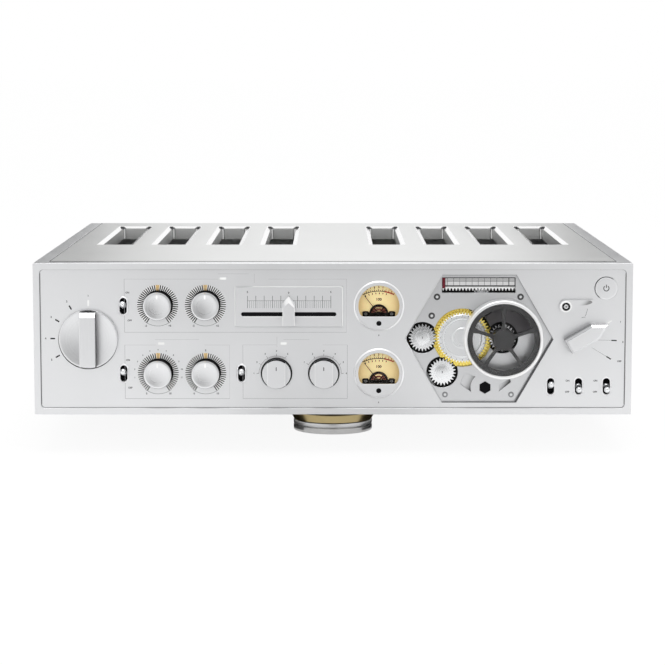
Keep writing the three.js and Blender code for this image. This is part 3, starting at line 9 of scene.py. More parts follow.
# %% Load the frame
import json
import math

import bmesh
import bpy
from mathutils import Matrix, Vector
from mathutils.geometry import delaunay_2d_cdt


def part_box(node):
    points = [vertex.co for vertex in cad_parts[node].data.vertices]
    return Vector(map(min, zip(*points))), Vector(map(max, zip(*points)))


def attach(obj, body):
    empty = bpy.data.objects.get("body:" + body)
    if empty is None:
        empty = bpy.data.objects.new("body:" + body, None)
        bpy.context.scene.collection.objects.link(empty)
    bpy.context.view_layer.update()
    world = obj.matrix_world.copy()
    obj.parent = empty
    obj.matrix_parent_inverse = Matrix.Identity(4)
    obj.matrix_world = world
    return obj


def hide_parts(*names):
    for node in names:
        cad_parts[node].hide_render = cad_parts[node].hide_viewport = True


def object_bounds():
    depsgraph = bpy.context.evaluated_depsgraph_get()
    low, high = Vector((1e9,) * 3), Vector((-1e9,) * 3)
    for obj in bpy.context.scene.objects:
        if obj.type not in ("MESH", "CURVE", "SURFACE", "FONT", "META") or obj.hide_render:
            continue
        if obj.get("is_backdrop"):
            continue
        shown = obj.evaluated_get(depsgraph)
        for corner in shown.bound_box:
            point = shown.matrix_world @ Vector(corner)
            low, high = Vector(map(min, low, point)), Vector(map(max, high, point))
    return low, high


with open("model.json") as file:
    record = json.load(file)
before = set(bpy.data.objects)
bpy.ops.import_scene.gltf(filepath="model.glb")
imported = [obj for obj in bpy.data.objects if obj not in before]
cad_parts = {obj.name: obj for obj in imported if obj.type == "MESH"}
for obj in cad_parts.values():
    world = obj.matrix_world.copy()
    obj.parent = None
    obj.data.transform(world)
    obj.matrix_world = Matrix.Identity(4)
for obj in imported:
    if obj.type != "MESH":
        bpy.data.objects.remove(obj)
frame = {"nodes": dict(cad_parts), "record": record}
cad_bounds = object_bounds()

MM = 0.001
nodes = frame["nodes"]
body_of_node = {
    node: body
    for body, members in frame["record"]["behaviour"]["bodies"].items()
    for node in members
}

# %% [markdown]
# Sizes on the front are measured from the middle of the panel's lower edge: x to the right, back from
# the front of the rim, and up. They could be typed in as metres of the frame, but no such number is
# easy to check with a ruler. One function turns a place in millimetres into the frame's metres, so
# every later number is a plain size on the front.

# %% Panel coordinates
panel_low, panel_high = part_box("front_panel")
PANEL_X = (panel_low[0] + panel_high[0]) / 2
FRONT_Y = panel_low[1]
BASE_Z = panel_low[2]
HALF = (panel_high[0] - panel_low[0]) / 2 / MM
TALL = (panel_high[2] - panel_low[2]) / MM


def at(x, back, up):
    """A point in the frame's metres from millimetres on the front."""
    return Vector((PANEL_X + x * MM, FRONT_Y + back * MM, BASE_Z + up * MM))


def local_box(node):
    """A node's box in millimetres on the front: (x0, back0, up0), (x1, back1, up1)."""
    low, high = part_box(node)
    origin = at(0, 0, 0)
    return tuple(tuple((Vector(corner) - origin) / MM) for corner in (low, high))


FACE = 1.5  # the face lies this far behind the front of the rim
print("panel", round(TALL, 1), "mm tall")

# %% [markdown]
# A long lens from far away shows the case as it is built, with sides that hardly run together. A
# camera that looks straight ahead with a shifted lens would keep upright lines upright, but any other
# view of the object would then sit off the middle of its picture. So the camera stands about 1.76 m
# in front of the panel and 0.16 m above its top edge, and is pitched down a little.

# %% Camera
CAMERA_BACK = 1757
CAMERA_UP = 158.4
CAMERA_SIDE = -0.9
LENS = 123.1
AIM_X = -0.3
AIM_UP = 64.5

camera_data = bpy.data.cameras.new("camera")
camera_data.lens = LENS
camera_data.sensor_width = 36
camera_data.clip_end = 50
camera = bpy.data.objects.new("camera", camera_data)
bpy.context.scene.collection.objects.link(camera)
camera.location = at(CAMERA_SIDE, -CAMERA_BACK, TALL + CAMERA_UP)
aim = at(AIM_X, 0, AIM_UP) - camera.location
camera.rotation_euler = aim.to_track_quat("-Z", "Y").to_euler()
bpy.context.scene.camera = camera
bpy.context.scene.view_settings.view_transform = "Standard"
print("camera", [round(v, 3) for v in camera.location])

# %% [markdown]
# A finish is a graph of small sums on noise and on places. It could be wired socket by socket, but
# sums are easier to read than wires. So a small class wraps a socket, and an expression on such
# values adds its Math nodes. Any other node comes from one method.


# %% Shader helpers
class Value:
    """A shader socket that takes part in arithmetic."""

    def __init__(self, finish, socket):
        self.finish = finish
        self.socket = socket

    def math(self, operation, first, second=None):
        inputs = {0: first} if second is None else {0: first, 1: second}
        return self.finish.node("ShaderNodeMath", {"operation": operation}, inputs)[0]

    def __add__(self, other):
        return self.math("ADD", self, other)

    __radd__ = __add__

    def __sub__(self, other):
        return self.math("SUBTRACT", self, other)

    def __rsub__(self, other):
        return self.math("SUBTRACT", other, self)

    def __mul__(self, other):
        return self.math("MULTIPLY", self, other)

    __rmul__ = __mul__

    def __truediv__(self, other):
        return self.math("DIVIDE", self, other)

    def absolute(self):
        return self.math("ABSOLUTE", self)


class Finish:
    """A material and the tools to wire it."""

    def __init__(self, name, slot=None):
        self.material = bpy.data.materials.new(name)
        self.material.use_nodes = True
        self.tree = self.material.node_tree
        self.shader = self.tree.nodes["Principled BSDF"]

    def node(self, kind, settings=None, inputs=None):
        made = self.tree.nodes.new(kind)
        for key, value in (settings or {}).items():
            if key == "stops":
                self.set_stops(made.color_ramp, value)
            else:
                setattr(made, key, value)
        for key, value in (inputs or {}).items():
            self.feed(made.inputs[key], value)
        return [Value(self, socket) for socket in made.outputs]

    def set_stops(self, ramp, stops):
        while len(ramp.elements) < len(stops):
            ramp.elements.new(1)
        for element, (position, colour) in zip(ramp.elements, stops):
            element.position = position
            element.color = (*colour, 1)

    def feed(self, socket, value):
        if isinstance(value, Value):
            self.tree.links.new(value.socket, socket)
        else:
            socket.default_value = value

    def constants(self, **values):
        for name, value in values.items():
            self.shader.inputs[name.replace("_", " ")].default_value = value

    def vary(self, name, value):
        self.feed(self.shader.inputs[name], value)

    def coordinates(self):
        return self.node("ShaderNodeTexCoord")[3]

    def clamped(self, value):
        return self.node("ShaderNodeClamp", {}, {"Value": value})[0]

    def vector(self, operation, *values):
        """A Vector Math node: its outputs are a vector and a value."""
        return self.node("ShaderNodeVectorMath", {"operation": operation}, dict(enumerate(values)))

    def from_place(self, place):
        """How far each point of the surface lies from a place."""
        return self.vector("SUBTRACT", self.coordinates(), place)[0]

    def noise(self, scale, detail=2.0, roughness=0.5, vector=None):
        inputs = {"Vector": vector or self.coordinates(), "Scale": scale, "Detail": detail}
        return self.node("ShaderNodeTexNoise", {}, {**inputs, "Roughness": roughness})[0]

    def between(self, factor, low, high):
        """A colour between two colours."""
        made = self.tree.nodes.new("ShaderNodeMix")
        made.data_type = "RGBA"
        self.feed(made.inputs[0], factor)
        self.feed(made.inputs[6], low if isinstance(low, Value) else (*low, 1))
        self.feed(made.inputs[7], high if isinstance(high, Value) else (*high, 1))
        return Value(self, made.outputs[2])

    def bump(self, height, distance, strength=1.0):
        inputs = {"Height": height, "Distance": distance, "Strength": strength}
        self.vary("Normal", self.node("ShaderNodeBump", {}, inputs)[0])


print("shader helpers ready")

# %% [markdown]
# Satin aluminium is blasted with fine beads and anodised: under a lens it is a field of tiny dimples,
# and from a step away an even grey sheen with very faint clouds. One flat grey would look like paint.
# So a fine noise in the bump makes the dimples, and a broad one varies colour and roughness by a few
# hundredths. Turned faces get rings round their axis instead, and polished ones faint smears.


# %% Metal finishes
def blasted(name, colour, rough, slot="satin_aluminium", cloud=0.03):
    finish = Finish(name, slot)
    fine = finish.noise(2600, 2.0, 0.6)
    broad = finish.noise(14, 3.0, 0.55)
    light = tuple(min(1, c * (1 + cloud)) for c in colour)
    dark = tuple(c * (1 - cloud) for c in colour)
    finish.vary("Base Color", finish.between(broad, dark, light))
    finish.vary("Roughness", broad * 0.08 + fine * 0.06 + (rough - 0.07))
    finish.constants(Metallic=1.0)
    finish.bump(fine, 0.01 * MM)
    return finish.material


def turned_metal(name, colour, rough, centre, axis=1, pitch=900):
    """Metal cut on a lathe: fine rings round an axis through a centre."""
    finish = Finish(name, "bright_steel")
    across = tuple(0 if i == axis else 1 for i in range(3))
    flat = finish.vector("MULTIPLY", finish.from_place(centre), across)[0]
    radius = finish.vector("LENGTH", flat)[1]
    rings = finish.node("ShaderNodeTexNoise", {"noise_dimensions": "1D"}, {"W": radius, "Scale": pitch})[0]
    broad = finish.noise(60, 2.0)
    dark = tuple(c * 0.94 for c in colour)
    finish.vary("Base Color", finish.between(rings, dark, colour))
    finish.vary("Roughness", rings * 0.14 + broad * 0.06 + (rough - 0.1))
    finish.constants(Metallic=1.0)
    finish.bump(rings, 0.012 * MM)
    return finish.material


def polished(name, colour, rough, slot="bright_steel"):
    finish = Finish(name, slot)
    smear = finish.noise(90, 3.0, 0.6)
    scratch = finish.noise(1400, 1.0, 0.5)
    dark = tuple(c * 0.95 for c in colour)
    finish.vary("Base Color", finish.between(smear, dark, colour))
    finish.vary("Roughness", smear * 0.07 + scratch * 0.03 + (rough - 0.04))
    finish.constants(Metallic=1.0)
    finish.bump(scratch, 0.002 * MM)
    return finish.material


SILVER = (0.77, 0.775, 0.785)
BRIGHT = (0.84, 0.85, 0.86)
GOLD = (0.9, 0.72, 0.36)
satin = blasted("satin_aluminium", SILVER, 0.4)
satin_top = blasted("top_aluminium", (0.77, 0.775, 0.77), 0.42)
# A darker copy of the satin: painted shade on the arrow lever's side and end and on the rims of the lower
# screws.
satin_shade = blasted("shaded_aluminium", (0.3, 0.305, 0.31), 0.45)
mirror = polished("mirror_edge", (0.98, 0.98, 0.98), 0.12)
plate_satin = blasted("gear_plate_satin", (0.66, 0.665, 0.675), 0.36)
bright = polished("bright_steel", BRIGHT, 0.16)
gilt = polished("gilt_brass", GOLD, 0.2, "gilt_brass")
print("metals ready")

# %% [markdown]
# The other finishes are plastic, enamel, ink, varnish and glass. A picture of each could be wrapped
# round its piece, but it would blur when seen from near. So each gets a little variation from noise
# instead: a moulded grain, colour that drifts by a few hundredths, and smears on the glass.


# %% Plastics, card and glass
def moulded(name, colour, rough, slot="dark_frame", scale=900, metal=0.0, gloss=0.5):
    finish = Finish(name, slot)
    fine = finish.noise(scale, 3.0, 0.6)
    broad = finish.noise(35, 2.0)
    dark = tuple(c * 0.85 for c in colour)
    light = tuple(min(1, c * 1.12) for c in colour)
    finish.vary("Base Color", finish.between(broad, dark, light))
    finish.vary("Roughness", fine * 0.12 + broad * 0.06 + (rough - 0.09))
    finish.constants(Metallic=metal, Specular_IOR_Level=gloss)
    finish.bump(fine, 0.03 * MM)
    return finish.material


def clear_glass(name):
    finish = Finish(name)
    smear = finish.noise(40, 2.0)
    finish.constants(Base_Color=(1, 1, 1, 1), Transmission_Weight=1.0, IOR=1.12)
    finish.vary("Roughness", smear * 0.02 + 0.005)
    return finish.material


# Black plastic, and also painted shade: black rings, strips and patches where shade falls.
black_and_shade = moulded("black_plastic", (0.006, 0.006, 0.007), 0.6, "black_plastic", gloss=0.04)
dark_frame = moulded("dark_frame", (0.065, 0.065, 0.066), 0.42, metal=0.4)
# Printed ink, and also painted shade in the grooves round the bar knobs.
ink_and_shade = moulded("ink_and_shade", (0.015, 0.015, 0.016), 0.6, "needle_black", gloss=0.1)
# Engraved lines and joints, and also painted shade in the vent bores, on the grip bar's side and along the
# window's edges.
engraved_and_shade = moulded("engraved_and_shade_grey", (0.08, 0.08, 0.085), 0.55, gloss=0.2)
# Faint engraved lines, and also paler painted shade along the rim's inner edge and the window's upper
# edges.
faint_line = moulded("faint_line", (0.3, 0.3, 0.31), 0.5)
# White enamel, and also painted highlights: white lines and rods where edges and bores catch the light.
enamel_and_highlight = moulded("white_enamel_and_highlight", (0.92, 0.92, 0.91), 0.45, "white_scale")
pointer_red = moulded("pointer_red", (0.13, 0.012, 0.022), 0.3, gloss=0.2)
sink_grey = moulded("sink_grey", (0.24, 0.24, 0.235), 0.5, "black_aluminium", metal=0.6)
varnish = moulded("winding_varnish", (0.28, 0.13, 0.04), 0.35, scale=260)
board_green = moulded("board_lacquer", (0.02, 0.075, 0.035), 0.35)
glass = clear_glass("clear_glass")
print("plastics ready")

# %% [markdown]
# A turned or milled piece is one closed body with flat faces and crisp edges. Each could be made and
# named in a way of its own, but then finishes and bodies are soon mixed up. So every piece made here
# goes through one function, which puts a mesh at the origin and rides it on the body that carries the
# real piece. Shading is smooth where faces meet softly and crisp at real edges.

# %% Mesh helpers
SHARP = math.radians(32)


def linked(data, name="work"):
    made = bpy.data.objects.new(name, data)
    bpy.context.scene.collection.objects.link(made)
    return made


def settle(mesh_data, name, material, node=None, body=None, replaces=()):
    """Links a mesh as a finished piece with its finish, on its node's body or a given one."""
    made = linked(mesh_data, name)
    made.data.materials.clear()
    made.data.materials.append(material)
    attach(made, body or body_of_node[node])
    if replaces:
        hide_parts(*replaces)
    return made


def shade(bm):
    for face in bm.faces:
        face.smooth = True
    for edge in bm.edges:
        edge.smooth = len(edge.link_faces) == 2 and edge.calc_face_angle(0) < SHARP


def evaluated(source):
    """A plain mesh of an object with its modifiers applied; the object goes away."""
    made = bpy.data.meshes.new_from_object(source.evaluated_get(bpy.context.evaluated_depsgraph_get()))
    bpy.data.objects.remove(source)
    return made


def to_mesh(bm, name, clean=True):
    """A mesh whose large flat faces stay flat where a soft edge meets them."""
    if clean:
        bmesh.ops.remove_doubles(bm, verts=bm.verts, dist=1e-6)
    bmesh.ops.recalc_face_normals(bm, faces=bm.faces)
    shade(bm)
    data = bpy.data.meshes.new(name)
    bm.to_mesh(data)
    bm.free()
    body = linked(data)
    step = body.modifiers.new("weigh", "WEIGHTED_NORMAL")
    step.keep_sharp = True
    result = evaluated(body)
    result.name = name
    return result


def ring_of(centre, radius, axis, sides, phase=0.0):
    """Corner places of a circle square to an axis (0 X, 1 Y, 2 Z)."""
    first, second = [(1, 2), (0, 2), (0, 1)][axis]
    places = []
    for i in range(sides):
        angle = phase + 2 * math.pi * i / sides
        point = Vector(centre)
        point[first] += radius * math.cos(angle)
        point[second] += radius * math.sin(angle)
        places.append(point)
    return places


def turned(bm, profile, centre, axis=1, sides=96):
    """Adds a turned body: the profile gives (radius, place along the axis) in metres."""
    rings = []
    for radius, place in profile:
        point = Vector(centre)
        point[axis] = place
        if radius == 0:
            rings.append([bm.verts.new(point)])
        else:
            rings.append([bm.verts.new(p) for p in ring_of(point, radius, axis, sides)])
    for low, high in zip(rings, rings[1:]):
        for i in range(sides):
            j = (i + 1) % sides
            corners = [low[i % len(low)], low[j % len(low)], high[j % len(high)], high[i % len(high)]]
            corners = [v for k, v in enumerate(corners) if v not in corners[:k]]
            if len(corners) > 2:
                bm.faces.new(corners)


def mm_profile(points, base=0.0):
    """A profile in millimetres as metres, its places counted from the panel's front."""
    return [(radius * MM, FRONT_Y + (base + place) * MM) for radius, place in points]


def prism(bm, outline, back0, back1):
    """Adds a prism whose outline is (x, up) in millimetres on the front."""
    low = [bm.verts.new(at(x, back0, up)) for x, up in outline]
    high = [bm.verts.new(at(x, back1, up)) for x, up in outline]
    bm.faces.new(low)
    bm.faces.new(list(reversed(high)))
    for i in range(len(outline)):
        j = (i + 1) % len(outline)
        bm.faces.new((low[j], low[i], high[i], high[j]))


print("mesh helpers ready")

# %% [markdown]
# A milled plate has true round openings and a fine chamfer along its front edges. In the model its
# openings are polygons, and cutting circles into it one by one leaves slivers that spoil a chamfer.
# So such a plate is laid out anew: the outline and all its openings are triangulated together, and
# the front is drawn in by the width of the chamfer. A piece with no such openings keeps the model's
# shape, and only its edges are eased.

# %% Cutting and easing plates
ROUND = 96  # sides of a visible circle


def cut_away(data, cutter_bm):
    """The mesh less the closed bodies of a bmesh."""
    bmesh.ops.recalc_face_normals(cutter_bm, faces=cutter_bm.faces)
    cutter_data = bpy.data.meshes.new("cutter")
    cutter_bm.to_mesh(cutter_data)
    cutter_bm.free()
    body, cutter = linked(data), linked(cutter_data)
    step = body.modifiers.new("cut", "BOOLEAN")
    step.solver = "EXACT"
    step.operation = "DIFFERENCE"
    step.object = cutter
    bpy.context.view_layer.update()
    result = evaluated(body)
    bpy.data.objects.remove(cutter)
    return result


def circle_outline(x, up, radius, sides=ROUND):
    return [
        (x + radius * math.cos(2 * math.pi * i / sides), up + radius * math.sin(2 * math.pi * i / sides))
        for i in range(sides)
    ]


def box_outline(x0, up0, x1, up1, radius=0.0, steps=6):
    """A rectangle, with round corners if a radius is given."""
    if not radius:
        return [(x0, up0), (x1, up0), (x1, up1), (x0, up1)]
    points = []
    for cx, cu, start in (
        (x1 - radius, up0 + radius, -90),
        (x1 - radius, up1 - radius, 0),
        (x0 + radius, up1 - radius, 90),
        (x0 + radius, up0 + radius, 180),
    ):
        for i in range(steps + 1):
            angle = math.radians(start + 90 * i / steps)
            points.append((cx + radius * math.cos(angle), cu + radius * math.sin(angle)))
    return points


def slot_outline(x, up, wide, tall, steps=24):
    radius = wide / 2
    reach = tall / 2 - radius
    points = []
    for start, middle in ((0, up + reach), (math.pi, up - reach)):
        for i in range(steps + 1):
            angle = start + math.pi * i / steps
            points.append((x + radius * math.cos(angle), middle + radius * math.sin(angle)))
    return points


def merged_copy(node):
    """A bmesh of a model piece with its loose triangles joined."""
    bm = bmesh.new()
    bm.from_mesh(nodes[node].data)
    bmesh.ops.remove_doubles(bm, verts=bm.verts, dist=2e-6)
    return bm


def soften(bm, edges, width):
    """Rounds edges by a width in millimetres."""
    look = {"segments": 2, "profile": 0.5, "affect": "EDGES", "clamp_overlap": True}
    bmesh.ops.bevel(bm, geom=edges, offset=width * MM, **look)


def eased(node, material, width):
    """A copy of a model piece with its edges eased by a width in millimetres."""
    bm = merged_copy(node)
    bmesh.ops.dissolve_limit(bm, angle_limit=math.radians(1), verts=bm.verts, edges=bm.edges)
    bmesh.ops.dissolve_degenerate(bm, dist=5e-6, edges=bm.edges)
    edges = [e for e in bm.edges if len(e.link_faces) == 2 and e.calc_face_angle(0) > SHARP]
    soften(bm, edges, width)
    bmesh.ops.triangulate(bm, faces=[f for f in bm.faces if len(f.verts) > 4])
    name = node + "_eased"
    return settle(to_mesh(bm, name, False), name, material, node, replaces=(node,))


def skin(name, node, material, keep):
    """A thin skin over those faces of a model piece that a test picks, for a second finish."""
    bm = merged_copy(node)
    bm.normal_update()
    others = [f for f in bm.faces if not keep(f.normal, (f.calc_center_median() - at(0, 0, 0)) / MM)]
    bmesh.ops.delete(bm, geom=others, context="FACES")
    bm.normal_update()
    front = {v: (v.co + v.normal * 0.03 * MM, v.co - v.normal * 0.05 * MM) for v in bm.verts}
    made = bmesh.new()
    outer = {v: made.verts.new(pair[0]) for v, pair in front.items()}
    inner = {v: made.verts.new(pair[1]) for v, pair in front.items()}
    for face in bm.faces:
        made.faces.new([outer[v] for v in face.verts])
        made.faces.new([inner[v] for v in reversed(face.verts)])
    for edge in bm.edges:
        if len(edge.link_faces) == 1:
            first, last = edge.link_loops[0].vert, edge.link_loops[0].link_loop_next.vert
            made.faces.new((outer[last], outer[first], inner[first], inner[last]))
    bm.free()
    return settle(to_mesh(made, name, False), name, material, node)


def inside(point, outline):
    """Whether a place lies within an outline, by crossings."""
    x, y = point
    result = False
    for (x0, y0), (x1, y1) in zip(outline, outline[1:] + outline[:1]):
        if (y0 > y) != (y1 > y) and x < (x1 - x0) * (y - y0) / (y1 - y0) + x0:
            result = not result
    return result


def cut_plate(name, material, node, outer, holes, back0, back1, ease=0, replaces=(), slot=None):
    """A flat plate with openings that may run into each other, and a chamfer along its front edges."""
    loops = [outer, *holes]
    points, edges = [], []
    for loop in loops:
        start = len(points)
        points += [Vector(p) for p in loop]
        edges += [(start + i, start + (i + 1) % len(loop)) for i in range(len(loop))]
    places, _, faces, *_ = delaunay_2d_cdt(points, edges, [], 0, 1e-5)
    kept = []
    for face in faces:
        middle = sum((places[i] for i in face), Vector((0, 0))) / len(face)
        if inside(middle, outer) and not any(inside(middle, hole) for hole in holes):
            kept.append(face)
    sides = {(i, j): None for face in kept for i, j in zip(face, face[1:] + face[:1])}
    border = [(i, j) for i, j in sides if (j, i) not in sides]
    push = {}
    for i, j in border:
        along = (places[j] - places[i]).normalized()
        for k in (i, j):
            push.setdefault(k, []).append(Vector((-along.y, along.x)))
    front, edge, back = {}, {}, {}
    bm = bmesh.new()
    for i in {i for face in kept for i in face}:
        x, up = places[i]
        move = Vector((0, 0))
        if i in push and ease:
            mean = sum(push[i], Vector((0, 0)))
            move = mean / max(0.3, mean.length_squared) * len(push[i]) * ease
            edge[i] = bm.verts.new(at(x, back0 + ease, up))
        front[i] = bm.verts.new(at(x + move.x, back0, up + move.y))
        back[i] = bm.verts.new(at(x, back1, up))
    for face in kept:
        bm.faces.new([front[i] for i in face])
        bm.faces.new([back[i] for i in reversed(face)])
    for i, j in border:
        low, middle = (front[i], front[j]), (edge.get(i), edge.get(j))
        if ease:
            bm.faces.new((low[1], low[0], middle[0], middle[1]))
            low = middle
        bm.faces.new((low[1], low[0], back[i], back[j]))
    return settle(to_mesh(bm, name, False), name, material, node, replaces=replaces)


def lathe(name, material, profile, x, up, node=None, body=None, slot=None, replaces=(), sides=ROUND):
    """A turned piece about a line square to the front; the profile is (radius, back) in millimetres."""
    bm = bmesh.new()
    turned(bm, mm_profile(profile), at(x, 0, up), 1, sides)
    return settle(to_mesh(bm, name), name, material, node, body, replaces)


print("cutting and turning ready")

# %% [markdown]
# The strokes round a knob and the fins of a heat sink are one small block, set many times over. A
# loop could copy it, but a tree of nodes with named inputs states the pattern once. One tree sets
# ticks round a centre, with their number, radius, start, step and size as inputs. The other sets
# equal blocks along a line. A finished row is turned into a plain mesh, so that it rides on a body.


# %% Growing trees
class Growth:
    """A node group that makes geometry, with named inputs."""

    def __init__(self, name, inputs):
        self.tree = bpy.data.node_groups.new(name, "GeometryNodeTree")
        self.keys = {}
        for label, kind in inputs.items():
            made = self.tree.interface.new_socket(label, in_out="INPUT", socket_type="NodeSocket" + kind)
            self.keys[label] = made.identifier
        self.tree.interface.new_socket("Geometry", in_out="OUTPUT", socket_type="NodeSocketGeometry")
        self.source = self.tree.nodes.new("NodeGroupInput")
        self.sink = self.tree.nodes.new("NodeGroupOutput")

    def value(self, label):
        return self.source.outputs[label]

    def node(self, kind, settings=None, inputs=None):
        made = self.tree.nodes.new(kind)
        for key, value in (settings or {}).items():
            setattr(made, key, value)
        for key, value in (inputs or {}).items():
            if isinstance(value, bpy.types.NodeSocket):
                self.tree.links.new(value, made.inputs[key])
            else:
                made.inputs[key].default_value = value
        return made

    def math(self, operation, first, second=0.0):
        return self.node("ShaderNodeMath", {"operation": operation}, {0: first, 1: second}).outputs[0]

    def finish(self, instances):
        real = self.node("GeometryNodeRealizeInstances", {}, {0: instances}).outputs[0]
        painted = self.node(
            "GeometryNodeSetMaterial", {}, {"Geometry": real, "Material": self.value("Material")}
        )
        self.tree.links.new(painted.outputs[0], self.sink.inputs[0])

    def grow(self, name, material, body, slot=None, **values):
        base = linked(bpy.data.meshes.new(name + "_seed"), name + "_seed")
        step = base.modifiers.new("grow", "NODES")
        step.node_group = self.tree
        for label, value in {**values, "Material": material}.items():
            step[self.keys[label.replace("_", " ")]] = value
        bpy.context.view_layer.update()
        data = evaluated(base)
        data.name = name
        return settle(data, name, material, body=body)


def arc_tree():
    tree = Growth(
        "arc_of_ticks",
        {
            "Count": "Int",
            "Centre": "Vector",
            "Radius": "Float",
            "Start": "Float",
            "Step": "Float",
            "Size": "Vector",
            "Material": "Material",
        },
    )
    line = tree.node("GeometryNodeMeshLine", {}, {"Count": tree.value("Count"), "Offset": (0, 0, 0)})
    index = tree.node("GeometryNodeInputIndex").outputs[0]
    angle = tree.math("ADD", tree.math("MULTIPLY", index, tree.value("Step")), tree.value("Start"))
    across = tree.math("MULTIPLY", tree.math("SINE", angle), tree.value("Radius"))
    up = tree.math("MULTIPLY", tree.math("COSINE", angle), tree.value("Radius"))
    offset = tree.node("ShaderNodeCombineXYZ", {}, {"X": across, "Z": up}).outputs[0]
    place = tree.node(
        "ShaderNodeVectorMath", {"operation": "ADD"}, {0: offset, 1: tree.value("Centre")}
    ).outputs[0]
    points = tree.node("GeometryNodeSetPosition", {}, {"Geometry": line.outputs[0], "Position": place})
    block = tree.node("GeometryNodeMeshCube", {}, {"Size": tree.value("Size")})
    turn = tree.node("ShaderNodeCombineXYZ", {}, {"Y": angle}).outputs[0]
    spread = tree.node(
        "GeometryNodeInstanceOnPoints",
        {},
        {"Points": points.outputs[0], "Instance": block.outputs[0], "Rotation": turn},
    )
    tree.finish(spread.outputs[0])
    return tree


def row_tree():
    tree = Growth(
        "row_of_blocks",
        {"Count": "Int", "First": "Vector", "Step": "Vector", "Size": "Vector", "Material": "Material"},
    )
    line = tree.node(
        "GeometryNodeMeshLine",
        {},
        {"Count": tree.value("Count"), "Start Location": tree.value("First"), "Offset": tree.value("Step")},
    )
    block = tree.node("GeometryNodeMeshCube", {}, {"Size": tree.value("Size")})
    spread = tree.node(
        "GeometryNodeInstanceOnPoints", {}, {"Points": line.outputs[0], "Instance": block.outputs[0]}
    )
    tree.finish(spread.outputs[0])
    return tree


arcs = arc_tree()
rows = row_tree()
PROUD = 0.04  # how far a mark stands out of its face
SUNK = 0.12  # and how far it reaches in


def arc_ticks(name, material, x, up, radius, start, step, count, wide, tall, back=FACE, body="chassis"):
    """Ticks round a centre, clockwise in degrees from the top, standing a trace proud of a face."""
    return arcs.grow(
        name,
        material,
        body,
        Count=count,
        Centre=at(x, back + (SUNK - PROUD) / 2, up),
        Radius=radius * MM,
        Start=math.radians(start),
        Step=math.radians(step),
        Size=(wide * MM, (SUNK + PROUD) * MM, tall * MM),
    )


print("growing trees:", arcs.tree.name, rows.tree.name)

# %% [markdown]
# Lines and numbers are engraved or printed on the real front. They could be drawn in the finish of
# the panel, but they would be soft when seen from near. So numbers are text turned to mesh, in a
# plain face, and lines are thin prisms, all standing a trace proud so that they never flicker. Each
# set of marks is one piece, as one screen of ink prints it in one go.


# %% Marks
def text_into(bm, words, x, up, tall, back, align="CENTER", turn=0.0):
    curve = bpy.data.curves.new("words", "FONT")
    curve.body = words
    curve.size = tall * MM
    curve.align_x = align
    curve.align_y = "CENTER"
    curve.extrude = PROUD * MM
    curve.offset = 0.03 * tall * MM
    curve.resolution_u = 3
    source = linked(curve, "words")
    bpy.context.view_layer.update()
    data = evaluated(source)
    place = Matrix.Translation(at(x, back, up))
    data.transform(
        place @ Matrix.Rotation(math.radians(turn), 4, "Y") @ Matrix.Rotation(math.pi / 2, 4, "X")
    )
    bm.from_mesh(data)
    bpy.data.meshes.remove(data)


def bar_into(bm, x0, up0, x1, up1, back, thick=SUNK):
    prism(bm, [(x0, up0), (x1, up0), (x1, up1), (x0, up1)], back - PROUD, back + thick)


def stroke_into(bm, start, end, wide, back):
    """A straight line of ink between two places on the front."""
    across = Vector((end[0] - start[0], end[1] - start[1])).normalized() * wide / 2
    side = Vector((-across.y, across.x))
    corners = [
        (start[0] - side.x, start[1] - side.y),
        (end[0] - side.x, end[1] - side.y),
        (end[0] + side.x, end[1] + side.y),
        (start[0] + side.x, start[1] + side.y),
    ]
    prism(bm, corners, back - PROUD, back + SUNK)


def arc_outline(x, up, inner, outer, start, end, steps=48):
    """A band between two radii, clockwise in degrees from the top."""
    points = []
    for radius, first, last in ((outer, start, end), (inner, end, start)):
        for i in range(steps + 1):
            angle = math.radians(first + (last - first) * i / steps)
            points.append((x + radius * math.sin(angle), up + radius * math.cos(angle)))
    return points


def arc_into(bm, x, up, inner, outer, start, end, back, thick=SUNK, steps=48):
    outline = arc_outline(x, up, inner, outer, start, end, steps)
    count = steps + 1
    low = [bm.verts.new(at(px, back - PROUD, pu)) for px, pu in outline]
    high = [bm.verts.new(at(px, back + thick, pu)) for px, pu in outline]
    for i in range(steps):
        j = 2 * count - 1 - i
        bm.faces.new((low[i], low[i + 1], low[j - 1], low[j]))
        bm.faces.new((high[i], high[j], high[j - 1], high[i + 1]))
    for i in range(2 * count):
        j = (i + 1) % (2 * count)
        bm.faces.new((low[j], low[i], high[i], high[j]))


def marks(name, material, draw, body="chassis", replaces=()):
    """One piece of marks, drawn into a bmesh by a function."""
    bm = bmesh.new()
    draw(bm)
    return settle(to_mesh(bm, name, False), name, material, body=body, replaces=replaces)


print("marks ready")

# %% [markdown]
# The case is a top cover with eight long vents, two thick sides, a bottom and a rear. They could be
# plain boxes with bevels, but the broad sloped edges of the vents are in the model already. So the
# model's plates are kept and their edges eased, those of the sides the most. A bright skin lies on
# the slopes of the vents. The joints round the cover are dark strips. In the round bores at the rear
# corners of each vent, dark cylinders are painted shade and a white rod down the wall is a painted
# highlight.

# %% Case
eased("top_cover", satin_top, 0.12)
for side in ("left", "right"):
    eased("side_panel_" + side, satin, 0.6)
eased("bottom_plate", satin, 0.4)
eased("rear_panel", satin, 0.3)
skin("vent_bevels", "top_cover", mirror, lambda normal, place: 0.2 < normal.z < 0.98)


